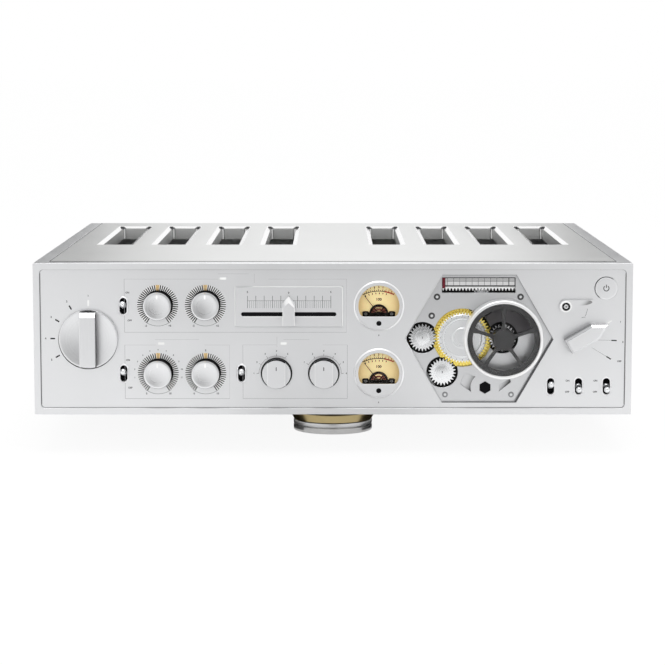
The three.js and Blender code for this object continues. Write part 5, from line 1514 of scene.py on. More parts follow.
# %% Level meters
ring_metal = blasted("ring_aluminium", (0.93, 0.93, 0.94), 0.36)
for word, (x, up) in METERS.items():
    pivot = up - PIVOT_DROP
    face_front = FACE - 1.2
    bezel = "meter_bezel_" + word
    openings = [window_outline(x, up, 0), circle_outline(x, up - 13.6, 2, 48)]
    disc = circle_outline(x, up, 18.3, 120)
    cut_plate(bezel + "_face", satin, bezel, disc, openings, face_front, FACE - 0.15, 0.12, (bezel,))
    ring = [(18.35, face_front + 0.2), (18.5, face_front), (18.65, face_front), (19.6, face_front + 0.6)]
    ring += [(19.7, face_front + 0.8), (19.7, FACE - 0.15), (18.35, FACE - 0.15)]
    ring += [ring[0]]
    lathe(bezel + "_ring", ring_metal, ring, x, up, node=bezel, slot="bright_steel", replaces=(bezel,))
    can = [(17.6, 1.4), (18.6, 1.4), (18.6, 25.5), (0, 25.5), (0, 24.5), (17.6, 24.5), (17.6, 1.4)]
    lathe(bezel + "_can", black_and_shade, can, x, up, node=bezel, slot="black_plastic", replaces=(bezel,))
    plug = [(0, FACE - 0.6), (2.4, FACE - 0.6), (2.4, FACE + 0.4), (0, FACE + 0.4)]
    lathe(bezel + "_plug", black_and_shade, plug, x, up - 13.6, body="chassis", sides=48)

    dial = "meter_dial_" + word
    disc = [(0, CARD_BACK), (17.3, CARD_BACK), (17.3, CARD_BACK + 1), (0, CARD_BACK + 1)]
    lathe(dial + "_card", card, disc, x, up, node=dial, replaces=(dial,))

    base = up - 16.9

    def on_arc(degrees, radius):
        angle = math.radians(degrees)
        return x + radius * math.sin(angle), base + radius * math.cos(angle)

    def on_pivot(degrees, radius):
        angle = math.radians(degrees)
        return x + radius * math.sin(angle), pivot + radius * math.cos(angle)

    def dial_marks(bm):
        arc_into(bm, x, base, 27.75, 28.3, -26, 9, CARD_BACK)
        for i in range(12):
            angle = -26 + 3.2 * i
            stroke_into(bm, on_arc(angle, 27.9), on_arc(angle, 29.6 if i % 2 == 0 else 29), 0.42, CARD_BACK)
        for i, number in enumerate(("20", "10", "7", "5", "3", "1")):
            angle = -24.5 + 6.1 * i
            text_into(bm, number, *on_arc(angle, 31), 2.3, CARD_BACK, turn=angle)
        for i in range(7):
            angle = -23 + 6 * i
            stroke_into(bm, on_arc(angle, 25.6), on_arc(angle, 27), 0.6, CARD_BACK)
        text_into(bm, "100", x, up + 4.6, 3, CARD_BACK)

    marks(dial + "_ink", meter_ink, dial_marks, replaces=(dial,))

    def red_zone(bm):
        arc_into(bm, x, base, 27.5, 28.5, 9, 25, CARD_BACK)
        for i in range(4):
            angle = 11 + 4.5 * i
            stroke_into(bm, on_arc(angle, 28), on_arc(angle, 30), 0.45, CARD_BACK)
        text_into(bm, "+3", *on_arc(17, 31.2), 2.2, CARD_BACK, turn=17)

    marks(dial + "_red", meter_red, red_zone)

    def base_bar(bm):
        half = [(12.7, -2.1), (12.9, 1.4), (11.6, 2.1), (8.4, 2.1), (7.4, 0.9)]
        outline = [(x - half[0][0], pivot + half[0][1])]
        outline += [(x + across, pivot + rise) for across, rise in half]
        outline += [(x - across, pivot + rise) for across, rise in half[:0:-1]]
        prism(bm, outline, RELIEF, CARD_BACK + 0.3)
        arc_into(bm, x, pivot, 6, 7.5, -84, 84, RELIEF, 1.3, 40)
        for angle in (-64, -38, 38, 64):
            stroke_into(bm, on_pivot(angle, 1.2), on_pivot(angle, 6.4), 0.6, RELIEF)
        prism(bm, circle_outline(x, pivot, 1.7, 32), RELIEF - 0.1, CARD_BACK + 0.2)

    marks(dial + "_arch", meter_ink, base_bar, replaces=(dial,))
    marks(
        dial + "_coil",
        coil_red,
        lambda bm: arc_into(bm, x, pivot, 0.8, 6.2, -84, 84, RELIEF + 0.5, 0.9, 40),
        replaces=(dial,),
    )

    def base_screws(bm):
        for side in (-10.1, 10.1):
            arc_into(bm, x + side, pivot, 0.5, 1.1, 0, 360, RELIEF, 0.3, 24)

    marks(dial + "_screws", sink_grey, base_screws)

    def spring(bm):
        arc_into(bm, x, pivot, 4.4, 5.3, -30, 30, RELIEF + 0.45, 0.3, 16)
        arc_into(bm, x, pivot, 2.2, 2.7, -70, 70, RELIEF + 0.45, 0.3, 24)

    marks(dial + "_spring", gilt, spring)

    glass_node = "meter_glass_" + word
    bm = bmesh.new()
    prism(bm, window_outline(x, up, 0.3), face_front + 0.3, face_front + 1)
    pane = glass_node + "_pane"
    settle(to_mesh(bm, pane), pane, glass, glass_node, replaces=(glass_node,))

    needle = "meter_needle_" + word
    back = RELIEF - 0.3

    def needle_shape(bm):
        angle = math.radians(-38)
        direction = (math.sin(angle), math.cos(angle))
        side = (math.cos(angle), -math.sin(angle))
        tail, point = (-2.2, 0.36), (18.4, 0.19)
        corners = ((*tail, -1), (*point, -1), (*point, 1), (*tail, 1))
        points = [
            (x + direction[0] * r + side[0] * w * s, pivot + direction[1] * r + side[1] * w * s)
            for r, w, s in corners
        ]
        prism(bm, points, back - 0.4, back)
        prism(bm, circle_outline(x, pivot, 1.6, 32), back - 0.9, back)

    marks(needle + "_blade", meter_ink, needle_shape, body_of_node[needle], replaces=(needle,))
print("level meters made")

# %% [markdown]
# The gear plate carries the train, and the wells of its gears run into each other. Cut circle by
# circle, the walls between them would leave slivers. So the plate is laid out with all its openings
# at once, in two layers, so that the two fan-shaped recesses end at floors of their own, whose satin
# darkens into one corner as painted shade. The screws are small turned domes, each with a rim that
# is darker as painted shade.

# %% Gear plate
MODULE = 0.82
SMALL_TEETH, LARGE_TEETH = 24, 52
MAIN = (101, 60)
GAP = MODULE * (SMALL_TEETH + LARGE_TEETH) / 2
DIAL = (MAIN[0] + GAP, MAIN[1])
IDLERS = [
    (MAIN[0] + GAP * math.cos(math.radians(d)), MAIN[1] + GAP * math.sin(math.radians(d)))
    for d in (180, 240)
]
plate_front = local_box("gear_plate")[0][1]
RECESS = 12.3
MAIN_OPEN = MODULE * LARGE_TEETH / 2 + MODULE + 0.7
plate_back = local_box("gear_plate")[1][1]
RACK_PINION = (115.73, 87.46)
WELL_FLOOR = (6.78, 6.92)
BOLT, BOLT_RADIUS = (119, 20.7), 4.9
WINDOW = (84.9, 95.1, 142.2, 107.2)
plate_holes = [circle_outline(*MAIN, MAIN_OPEN, 144)]
plate_holes += [circle_outline(*place, RECESS) for place in (DIAL, *IDLERS)]
bolt_corners = [math.radians(60 * i) for i in range(6)]
bolt_outline = [
    (BOLT[0] + BOLT_RADIUS * math.sin(a), BOLT[1] + BOLT_RADIUS * math.cos(a)) for a in bolt_corners
]
plate_holes += [box_outline(*WINDOW), bolt_outline]
plate_holes += [arc_outline(*DIAL, RECESS - MODULE, 24, -60, 76, 60)]


def fan_outline(inner, inner_span, outer, outer_span, steps=20):
    points = []
    for radius, (first, last) in ((outer, outer_span), (inner, inner_span[::-1])):
        for i in range(steps + 1):
            angle = math.radians(first + (last - first) * i / steps)
            points.append((BOLT[0] + radius * math.cos(angle), BOLT[1] + radius * math.sin(angle)))
    return points


fans = [fan_outline(11.4, (-14, 12), 20.6, (12, 20)), fan_outline(11.4, (131, 197), 19.3, (144, 172))]
outer = hex_outline(111.8)
plate_layers = (
    ("gear_plate_face", plate_holes + fans, plate_front, plate_front + 1.6, 0.16),
    ("gear_plate_body", plate_holes, plate_front + 1.6, plate_back, 0),
)
for name, holes, near, far, ease in plate_layers:
    cut_plate(name, plate_satin, "gear_plate", outer, holes, near, far, ease, ("gear_plate",))
paint("gear_bridge", moulded("bridge_metal", (0.02, 0.02, 0.02), 0.5, metal=0.6, gloss=0.2))
backing = arc_outline(*DIAL, 12.2, 24.3, -62, 78, 60)
backing_grey = moulded("backing_grey", (0.17, 0.162, 0.17), 0.5, gloss=0.2)
backing_hole = [circle_outline(*RACK_PINION, 11.4)]
cut_plate(
    "dial_backing", backing_grey, "gear_plate", backing, backing_hole, *WELL_FLOOR, slot="dark_frame"
)


def sunk_satin(name, start, end, light=(0.66, 0.665, 0.675), dark=(0.1, 0.1, 0.1)):
    """Satin metal at the floor of a recess, with painted shade: it darkens from one place to another, into
    its corner.
    """
    finish = Finish(name)
    along = at(end[0], 0, end[1]) - at(start[0], 0, start[1])
    reach = finish.vector("DOT_PRODUCT", finish.from_place(at(start[0], 0, start[1])), along)[1]
    share = finish.clamped(reach / along.length_squared)
    fine = finish.noise(2600, 2.0, 0.6)
    finish.vary("Base Color", finish.between(share * share, light, dark))
    finish.vary("Roughness", fine * 0.06 + 0.38)
    finish.constants(Metallic=1.0)
    return finish.material


fan_shades = [((130.8, 25.2), (135.6, 22)), ((103, 27), (109.6, 23.6))]
for number, (fan, (start, end)) in enumerate(zip(fans, fan_shades)):
    metal = sunk_satin("fan_satin_%d" % number, start, end)
    cut_plate("fan_floor_%d" % number, metal, "gear_plate", fan, [], plate_front + 1.46, plate_front + 1.62)

bolt_hole = circle_outline(*BOLT, BOLT_RADIUS + 0.4, 48)
marks("bolt_hole", black_and_shade, lambda bm: prism(bm, bolt_hole, plate_front + 1, plate_front + 1.8))

SCREWS = [(81.1, 92), (146.1, 92), (77, 77.2), (87.7, 15.2), (139.4, 15.2)]
for number, (x, up) in enumerate(SCREWS):
    upper = up > 60
    wide = 2.6 if upper else 2.3
    rim = [(1.1, plate_front - 0.5), (wide - 0.2, plate_front - 0.35), (wide, plate_front)]
    rim += [(wide, plate_front + 0.8), (1.1, plate_front + 0.8), (1.1, plate_front - 0.5)]
    # Painted shade: the rims are darker than the heads, darkest round the upper screws.
    rim_metal, head_metal = (dark_frame, satin) if upper else (satin_shade, satin)
    lathe("screw_rim_%d" % number, rim_metal, rim, x, up, body="chassis", slot="dark_frame", sides=48)
    head = [(0, plate_front - 0.55), (1, plate_front - 0.45), (1.25, plate_front - 0.1)]
    head += [(1.25, plate_front + 0.6), (0, plate_front + 0.6)]
    lathe("screw_head_%d" % number, head_metal, head, x, up, body="chassis", slot="bright_steel", sides=48)
# Painted shade: a black bar behind the rack in the lower part of the window.
marks("rack_shade", black_and_shade, lambda bm: bar_into(bm, *WINDOW[:3], WINDOW[1] + 4.7, 11.9))
print("gear plate made")

# %% [markdown]
# The gears are brass and steel, with teeth of one module that mesh at rest. Teeth could be drawn anew
# as smooth curves, but the model's already mesh exactly, so they stay and their edges are broken by a
# fine chamfer. The main gear is a brass ring under a turned disc with a ring of dots, and a pale gap
# stands at each tooth between the two. The idlers wear turned hubs with a plain number each.

# %% Gears
gear_brass = polished("gear_brass", (1, 0.8, 0.2), 0.26)
eased("main_gear_ring", gear_brass, 0.1)
eased("main_gear_rear", gear_brass, 0.1)
PINIONS = [RACK_PINION, DIAL, *IDLERS]
floor_holes = [circle_outline(*MAIN, 20.45, 144), *(circle_outline(x, up, 11.2) for x, up in PINIONS)]
well = circle_outline(*MAIN, MAIN_OPEN + 0.4, 144)
cut_plate("main_gear_floor", gear_brass, "gear_plate", well, floor_holes, *WELL_FLOOR, slot="gilt_brass")
eased("rack_pinion", bright, 0.1)
eased("dial_pinion", bright, 0.1)
eased("volume_rack", enamel_and_highlight, 0.08)

disc_low = local_box("main_gear_disc")[0][1]
disc_profile = [(0, disc_low), (7.6, disc_low), (8, disc_low + 0.3), (8.1, disc_low + 0.62)]
disc_profile += [(8.6, disc_low + 0.68), (14.6, disc_low + 0.6), (14.9, disc_low + 0.8)]
disc_profile += [(15.2, disc_low + 0.6), (17.9, disc_low + 0.6), (18.3, disc_low + 0.9)]
disc_profile += [(18.3, disc_low + 1.7), (0, disc_low + 1.7)]
main_metal = turned_metal("main_disc_metal", BRIGHT, 0.3, at(MAIN[0], 0, MAIN[1]))
lathe("main_disc", main_metal, disc_profile, *MAIN, node="main_gear_disc", replaces=("main_gear_disc",))
pitch = 360 / LARGE_TEETH
gaps_back = disc_low + 1.7
arc_ticks("main_ring_gaps", enamel_and_highlight, *MAIN, 18.9, 0, pitch, LARGE_TEETH, 0.9, 1.1, gaps_back, "main_gear")
arc_ticks("main_disc_dots", engraved_and_shade, *MAIN, 17.3, 0, 15, 24, 0.6, 0.6, disc_low + 0.6, "main_gear")
for place, side, number in zip(IDLERS, ("left", "lower"), "12"):
    node = "idler_gear_" + side
    eased(node, bright, 0.1)
    front = local_box(node)[0][1]
    metal = turned_metal(node + "_metal", BRIGHT, 0.28, at(place[0], 0, place[1]))
    hub = [(0, front - 0.02), (5.2, front - 0.02), (5.7, front + 0.2), (5.85, front + 1), (0, front + 1)]
    lathe(node + "_hub", metal, hub, *place, body=body_of_node[node])
    marks(
        node + "_number",
        ink_and_shade,
        lambda bm: text_into(bm, number, *place, 2.2, front - 0.02),
        body_of_node[node],
    )
print("gears made")

# %% [markdown]
# The volume scale is a pale strip with printed divisions above the rack, and a red pointer that
# rides on the rack passes in front of it. The divisions could be bands in the strip's finish, but
# lines this fine stay crisp only as shapes. So strip and pointer keep the model's shape, and the
# divisions, the outline and a paler lower half of painted light are thin pieces on it.

# %% Volume scale
scale_grey = moulded("scale_grey", (0.48, 0.48, 0.48), 0.5)
eased("scale_strip", scale_grey, 0.05)
eased("volume_pointer", pointer_red, 0.08)
strip_low, strip_high = local_box("scale_strip")
scale_pale = moulded("scale_light", (0.62, 0.62, 0.62), 0.5, "white_scale")


def scale_light(bm):
    """Painted light: the lower half of the strip, which catches more light."""
    middle = (strip_low[2] + strip_high[2]) / 2
    bar_into(bm, strip_low[0] + 3, strip_low[2] + 0.2, strip_high[0] - 0.5, middle, strip_low[1] + 0.02)


marks("scale_light", scale_pale, scale_light)


def scale_lines(bm):
    low, high = strip_low[2] + 0.2, strip_high[2] - 0.2
    middle = low + 0.55 * (high - low)
    for i in range(12):
        x = strip_low[0] + 4 + 4.8 * i
        bar_into(bm, x - 0.14, low, x + 0.14, high, strip_low[1] - 0.02)
    for i in range(60):
        x = strip_low[0] + 4 + 0.88 * i
        bar_into(bm, x - 0.05, middle, x + 0.05, high - 1, strip_low[1])
    bar_into(bm, strip_low[0] + 4, middle - 0.1, strip_high[0] - 1, middle + 0.1, strip_low[1])


def scale_border(bm):
    """The black outline of the strip: a heavy line below, which is also painted shade where the strip meets
    the rack, and a fine one above and at the right.
    """
    x0, x1, low, high = strip_low[0], strip_high[0], strip_low[2], strip_high[2]
    bar_into(bm, x0, low - 0.1, x1, low + 0.45, strip_low[1] - 0.04)
    bar_into(bm, x0, high - 0.45, x1, high, strip_low[1] - 0.04)
    bar_into(bm, x1 - 0.4, low, x1, high, strip_low[1] - 0.04)
    bar_into(bm, x1 - 5.2, low, x1 - 4.9, high, strip_low[1] - 0.04)


marks("scale_lines", engraved_and_shade, scale_lines)
marks("scale_edge", ink_and_shade, scale_border)
print("volume scale made")

# %% [markdown]
# The volume dial is a bright tube with a rounded lip. Inside it sits a dark frame of five struts
# under clear glass, so that the train behind stays in view. The lip could be a bevel on the model's
# tube, but on a round this large each facet of it shows. So the tube, the frame's ring and hub and
# the glass are turned anew at the same sizes, and the struts are thin prisms.

# %% Volume dial
dial_low, dial_high = local_box("volume_dial")
front, back = dial_low[1], dial_high[1]
tube = [(28.2, front + 0.5), (28.45, front + 0.12), (28.9, front), (29.8, front + 0.06)]
tube += [(30.4, front + 0.35), (30.75, front + 0.9), (30.8, front + 1.6)]
tube += [(30.8, back - 0.4), (30.4, back), (28.2, back), (28.2, front + 0.5)]
dial_metal = turned_metal("dial_metal", (0.92, 0.92, 0.92), 0.4, at(DIAL[0], 0, DIAL[1]))
lathe("dial_tube", dial_metal, tube, *DIAL, node="volume_dial", replaces=("volume_dial",), sides=144)

spider_front = local_box("dial_spider")[0][1]
spider_back = local_box("dial_spider")[1][1]


def spider(bm):
    outer, inner, deep = 27.9, 24, 2.4
    ring = [(inner, spider_front + 0.2), (inner + 0.2, spider_front), (outer, spider_front)]
    ring += [(outer, spider_front + deep), (inner, spider_front + deep), (inner, spider_front + 0.2)]
    turned(bm, mm_profile(ring), at(DIAL[0], 0, DIAL[1]), 1, 144)
    hub = [(0, spider_front + 0.05), (8.2, spider_front + 0.05), (8.5, spider_front + 0.35)]
    hub += [(8.5, spider_back), (0, spider_back)]
    turned(bm, mm_profile(hub), at(DIAL[0], 0, DIAL[1]), 1, 72)
    for i in range(5):
        angle = math.radians(72 * i)
        up, side = (math.sin(angle), math.cos(angle)), (math.cos(angle), -math.sin(angle))
        strut = ((7.8, -2), (12, -1.3), (20, -1.3), (25, -2.4), (25, 2.4), (20, 1.3), (12, 1.3), (7.8, 2))
        corners = [(DIAL[0] + up[0] * r + side[0] * w, DIAL[1] + up[1] * r + side[1] * w) for r, w in strut]
        prism(bm, corners, spider_front + 0.02, spider_front + 2.38)


marks("dial_frame", dark_frame, spider, "volume_control", replaces=("dial_spider",))
glass_low, glass_high = local_box("dial_glass")
pane = [(0, glass_low[1]), (27.7, glass_low[1]), (27.9, glass_low[1] + 0.2)]
pane += [(27.9, glass_high[1]), (0, glass_high[1])]
lathe("dial_pane", glass, pane, *DIAL, node="dial_glass", replaces=("dial_glass",))
print("volume dial made")

# %% [markdown]
# A toggle's lever is a turned bat on a ball, tilted up or down in its slot. A plain cylinder would
# do from far away, but the waist at the ball and the round tip make it a bat. So its profile is turned
# and then tilted as a whole. The pressed bezel is lofted through round-ended outlines that widen
# step by step, and black rubber closes the slot behind it.

# %% Toggles
bezel_metal = blasted("bezel_aluminium", (0.84, 0.84, 0.85), 0.36)
for node, (x, up, way) in TOGGLES.items():
    ball, tip, long = 2.5, 2.35, 10.5
    profile = [(0, 2.5)]
    for i in range(1, 13):
        angle = math.radians(90 - 11.5 * i)
        profile.append((ball * math.cos(angle), ball * math.sin(angle)))
    profile += [(1.35, -2.6), (1.6, -4.5), (2.25, -long + 2.8)]
    for i in range(10):
        angle = math.radians(90 * i / 9)
        profile.append((tip * math.cos(angle), -(long - tip) - tip * math.sin(angle)))
    profile[-1] = (0, -long)
    bm = bmesh.new()
    turned(bm, [(r * MM, p * MM) for r, p in profile], Vector((0, 0, 0)), 1, 48)
    tilt = Matrix.Rotation(math.radians(-14 * way), 4, "X")
    bmesh.ops.transform(bm, matrix=Matrix.Translation(at(x, FACE + ball, up)) @ tilt, verts=bm.verts)
    settle(to_mesh(bm, node + "_bat"), node + "_bat", bright, node, replaces=(node,))

    bm = bmesh.new()
    rings = []
    for grow, back in ((0, 0.5), (0, -0.1), (0.25, -0.25), (1, -0.25), (1.25, 0.03), (1.25, 0.5)):
        outline = slot_outline(x, up, SLOT[0] + 2 * grow, SLOT[1] + 2 * grow)
        rings.append([bm.verts.new(at(px, FACE + back, pu)) for px, pu in outline])
    rings.append(rings[0])
    for low, high in zip(rings, rings[1:]):
        for i in range(len(low)):
            j = (i + 1) % len(low)
            bm.faces.new((low[i], low[j], high[j], high[i]))
    settle(to_mesh(bm, node + "_bezel"), node + "_bezel", bezel_metal, body="chassis")

    bm = bmesh.new()
    prism(bm, slot_outline(x, up, SLOT[0] + 1.5, SLOT[1] + 1.5), 7.2, 8.2)
    settle(to_mesh(bm, node + "_boot"), node + "_boot", black_and_shade, body="chassis")
print("toggles made")

# %% [markdown]
# The two levers on the right are solid aluminium: a teardrop on a ringed boss, and an arrow with
# bevelled edges. The teardrop could be a stretched cylinder, but its sides are straight. So its
# outline is two circles and the lines that touch both. The arrow keeps the model's shape, and thin
# skins paint shade on its side and end and polish the bevels of its tip. The power button is a
# turned disc with the usual sign for power.

# %% Levers and power button
direct_front = local_box("direct_lever")[0][1]
ARM_FRONT, ARM_LONG, ARM_RISE = direct_front + 1, 20.5, 8


def on_arm(along, aside=0.0):
    """A place on the direct lever's arm: along it from the boss, and to its upper side."""
    angle = math.radians(ARM_RISE)
    return (
        DIRECT[0] + along * math.cos(angle) - aside * math.sin(angle),
        DIRECT[1] + along * math.sin(angle) + aside * math.cos(angle),
    )


def arm_outline(grow=0.0, steps=24):
    """The arm: a round head, a smaller round tip and the two lines that touch both."""
    head, tip = 5 + grow, 2.2 + grow
    spread = math.degrees(math.acos((head - tip) / ARM_LONG))
    points = []
    for centre, radius, first, last in ((0, head, spread, 360 - spread), (ARM_LONG, tip, -spread, spread)):
        for i in range(steps + 1):
            angle = math.radians(first + (last - first) * i / steps)
            points.append(on_arm(centre + radius * math.cos(angle), radius * math.sin(angle)))
    return points


arm_depth = (ARM_FRONT, KNOB_BACK)
cut_plate("direct_arm", satin, "direct_lever", arm_outline(), [], *arm_depth, replaces=("direct_lever",))
# Painted shade: the thumb dish at the arm's end is a thin plate whose satin darkens towards its lower side.
dish = []
for degrees in range(0, 360, 8):
    angle = math.radians(degrees)
    tall = 1.1 if degrees < 180 else 0.75
    dish.append(on_arm(14.6 + 6 * math.cos(angle), 0.6 + 2.1 * math.sin(angle) * tall))
dish_metal = sunk_satin("direct_dish_satin", on_arm(12, 2.4), on_arm(15, -1.4), SILVER, (0.32, 0.32, 0.32))
cut_plate("direct_dish", dish_metal, "direct_lever", dish, [], ARM_FRONT - 0.03, ARM_FRONT + 0.2)
# Painted highlight: a white ring round the boss.
marks(
    "direct_halo",
    enamel_and_highlight,
    lambda bm: arc_into(bm, *DIRECT, 3.4, 4.5, 0, 360, ARM_FRONT, SUNK, 64),
    body_of_node["direct_lever"],
)
boss_side = [(0, direct_front), (3.1, direct_front), (3.3, direct_front + 0.2)]
boss_side += [(3.3, ARM_FRONT + 0.1), (0, ARM_FRONT + 0.1)]
lathe("direct_boss", satin, boss_side, *DIRECT, node="direct_lever", sides=64, replaces=("direct_lever",))
eased("speaker_lever", satin, 0.1)
# Painted shade on the arrow's upper side and its end, and polished bevels at its tip.
skin(
    "speaker_lever_side",
    "speaker_lever",
    satin_shade,
    lambda normal, place: normal.y > -0.85 and normal.x < -0.3 and normal.z > 0.3,
)
skin(
    "speaker_lever_end",
    "speaker_lever",
    satin_shade,
    lambda normal, place: -0.2 < normal.y < 0.2 and normal.x < -0.3 and normal.z < -0.3,
)
skin(
    "speaker_lever_tip",
    "speaker_lever",
    mirror,
    lambda normal, place: normal.y < -0.2 and normal.z > 0.2 and normal.x > -0.3 and normal.y > -0.95,
)
boss_front, boss_back = direct_front - 0.06, direct_front + 0.1
boss = [(0, boss_front), (1.6, boss_front), (1.75, boss_back), (0, boss_back)]
lathe("direct_boss_centre", bright, boss, *DIRECT, body=body_of_node["direct_lever"], sides=48)
marks(
    "direct_boss_ring",
    ink_and_shade,
    lambda bm: arc_into(bm, *DIRECT, 1.7, 3.2, 0, 360, direct_front, SUNK, 64),
    body_of_node["direct_lever"],
)
marks(
    "direct_boss_dot",
    ink_and_shade,
    lambda bm: prism(bm, circle_outline(*DIRECT, 0.55, 24), direct_front - 0.1, direct_front),
    body_of_node["direct_lever"],
)


def direct_marks(bm):
    """An arc for the lever's travel and a foot where it ends."""
    arc_into(bm, *DIRECT, 17.1, 17.35, 97, 117, FACE, SUNK, 12)
    stroke_into(bm, (DIRECT[0] + 12.6, DIRECT[1] - 8.9), (DIRECT[0] + 15.6, DIRECT[1] - 8.6), 0.3, FACE)


marks("direct_marks", engraved_and_shade, direct_marks)
button = [(0, 1.1), (7.9, 1.1), (8.25, 1.18), (8.5, 1.35), (8.6, 1.7), (8.6, 6.8)]
button += [(10.4, 6.8), (10.4, 8.4), (0, 8.4)]
lathe("power_button_disc", satin, button, *POWER, node="power_button", replaces=("power_button",))
marks(
    "power_gap_fill",
    satin,
    lambda bm: arc_into(bm, *POWER, 8.5, POWER_HOLE + 0.05, 38, 215, FACE + 0.05, 1.5),
)


def power_sign(bm):
    arc_into(bm, *POWER, 1.75, 2.35, 35, 325, 1.1)
    bar_into(bm, POWER[0] - 0.3, POWER[1] + 0.4, POWER[0] + 0.3, POWER[1] + 2.8, 1.1)


marks("power_sign", ink_and_shade, power_sign, body_of_node["power_button"])


def speaker_strokes(turns, first, last, wide):
    """Strokes away from the speaker lever's axis, in degrees anticlockwise from the right."""

    def draw(bm):
        for degrees in turns:
            a = math.radians(degrees)
            ends = [(SPEAKER[0] + r * math.cos(a), SPEAKER[1] + r * math.sin(a)) for r in (first, last)]
            stroke_into(bm, *ends, wide, FACE)

    return draw


marks("speaker_ticks", ink_and_shade, speaker_strokes((-1.5, -31.5), 25.4, 29.6, 0.9))
marks("speaker_lines", engraved_and_shade, speaker_strokes((-1.5, -31.5), 12, 25.4, 0.16))
marks("speaker_white_tick", enamel_and_highlight, speaker_strokes((30,), 26, 29.5, 0.8))
print("levers and button made")

# %% [markdown]
# A scale needs its numbers, and a toggle its ON and OFF. They could be one picture laid over the
# front, but its edges would blur when seen from near. So they are text in a plain face, set round
# each knob by radius and angle, and all in one piece of ink.


# %% Numbers on the front
def front_numbers(bm):
    def around(centre, radius, first, step, labels, tall=2.0):
        for i, label in enumerate(labels):
            angle = math.radians(first + step * i)
            place = (centre[0] + radius * math.sin(angle), centre[1] + radius * math.cos(angle))
            text_into(bm, label, *place, tall, FACE)

    around(SOURCE, 33.5, -120, 30, "54321")
    for word in ("filter", "gain"):
        around(RING_KNOBS[word], 18.4, -150, 300, ("0", "10"))
    around(RING_KNOBS["filter"], 18.6, -100, 20, [str(n) for n in range(1, 12)], 1.5)
    around(RING_KNOBS["gain"], 18, 0, 1, ("5",))
    for word in ("bass", "treble"):
        around(RING_KNOBS[word], 18.6, -150, 300, ("-5", "+5"))
    around(BAR_KNOBS["load"], 17.6, -90, 30, "12345", 1.8)
    around(BAR_KNOBS["capacitance"], 17.6, -60, 30, "123456", 1.8)
    for x, up in METERS.values():
        text_into(bm, "0", x, up - 23, 1.6, FACE)
    for node in ("toggle_tone", "toggle_crossover"):
        x, up, _ = TOGGLES[node]
        text_into(bm, "ON", x + 3.4, up + 10.5, 1.9, FACE)
        text_into(bm, "OFF", x + 5, up - 11.3, 1.9, FACE)
    for node in ("toggle_function_middle", "toggle_function_right"):
        x, up, _ = TOGGLES[node]
        text_into(bm, "ON", x - 8.6, up + 4.3, 1.9, FACE)
        text_into(bm, "OFF", x - 8.8, up - 4.5, 1.9, FACE)
    text_into(bm, "1", 224, 72.6, 1.9, FACE)
    text_into(bm, "2", 226, 56.8, 1.9, FACE)
    text_into(bm, "OFF", 223.4, 41.6, 1.9, FACE)


marks("front_numbers", ink_and_shade, front_numbers)


def balance_numbers(bm):
    last = RULE_LEFT + 10 * RULE_STEP
    for x, up, label in ((RULE_LEFT, 96, "5"), (BALANCE_X, 95.4, "0"), (last, 96, "5")):
        text_into(bm, label, x, up, 2.0, BALANCE_FRONT)


marks("balance_numbers", ink_and_shade, balance_numbers)
print("numbers printed")

# %% [markdown]
# Each foot is a black neck, a gilt ring that tapers downwards and a polished disc with a groove. The
# model's feet are plain, and a sharp edge catches no light. So each foot is turned anew at the same
# size, from profiles with small chamfers that draw bright lines round it.

# %% Feet
foot_metal = polished("foot_metal", (0.8, 0.8, 0.8), 0.3)
foot_gilt = polished("foot_gilt", (0.82, 0.66, 0.34), 0.32, "gilt_brass")
for word in ("front", "rear_left", "rear_right"):
    node = "foot_" + word
    low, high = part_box(node)
    centre = (Vector(low) + Vector(high)) / 2
    floor, top = low.z / MM, high.z / MM
    radius = (high.x - low.x) / 2 / MM
    ring_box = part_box("foot_ring_" + word)
    ring_low, ring_high = (corner.z / MM for corner in ring_box)
    ring_wide = (ring_box[1].x - ring_box[0].x) / 2 / MM
    disc_top = ring_low - 0.3
    groove_top = disc_top - 3.4
    groove_low = groove_top - 0.9

    def standing(name, material, profile, replaced):
        """A turned piece about an upright line; its profile is (radius, height) in millimetres."""
        bm = bmesh.new()
        turned(bm, [(r * MM, z * MM) for r, z in profile], centre, 2, 144)
        settle(to_mesh(bm, name), name, material, body="chassis", replaces=(replaced,))

    disc = [(0, floor), (radius - 0.7, floor), (radius - 0.2, floor + 0.25), (radius, floor + 0.7)]
    disc += [(radius, groove_low - 0.3), (radius - 0.3, groove_low), (29, groove_low), (29, groove_top)]
    disc += [(radius - 0.3, groove_top), (radius, groove_top + 0.3), (radius, disc_top - 0.8)]
    disc += [(radius - 0.25, disc_top - 0.3), (radius - 0.8, disc_top), (24, disc_top)]
    disc += [(24, disc_top + 0.2), (0, disc_top + 0.2)]
    standing(node + "_disc", foot_metal, disc, node)
    core = [(0, disc_top + 0.25), (24, disc_top + 0.25), (24, ring_high + 0.3), (30, ring_high + 0.3)]
    core += [(30, top), (0, top)]
    standing(node + "_neck", black_and_shade, core, node)
    ring = [(24.3, ring_low), (32.1, ring_low), (32.5, ring_low + 0.25)]
    ring += [(ring_wide - 0.15, ring_high - 0.6), (ring_wide - 0.3, ring_high - 0.1)]
    ring += [(ring_wide - 0.7, ring_high), (24.3, ring_high), (24.3, ring_low)]
    standing(node + "_gilt", foot_gilt, ring, "foot_ring_" + word)
print("feet made")

# %% [markdown]
# The back has a mains inlet, two rows of input jacks and four speaker posts. They could have threads
# and inner contacts, which nobody sees from the front. So they keep the model's plain forms, with
# eased edges and the finishes that such parts have.

# %% Back
eased("power_inlet", black_and_shade, 0.3)
eased("input_jacks", gilt, 0.2)
eased("speaker_posts", gilt, 0.3)
print("back made")

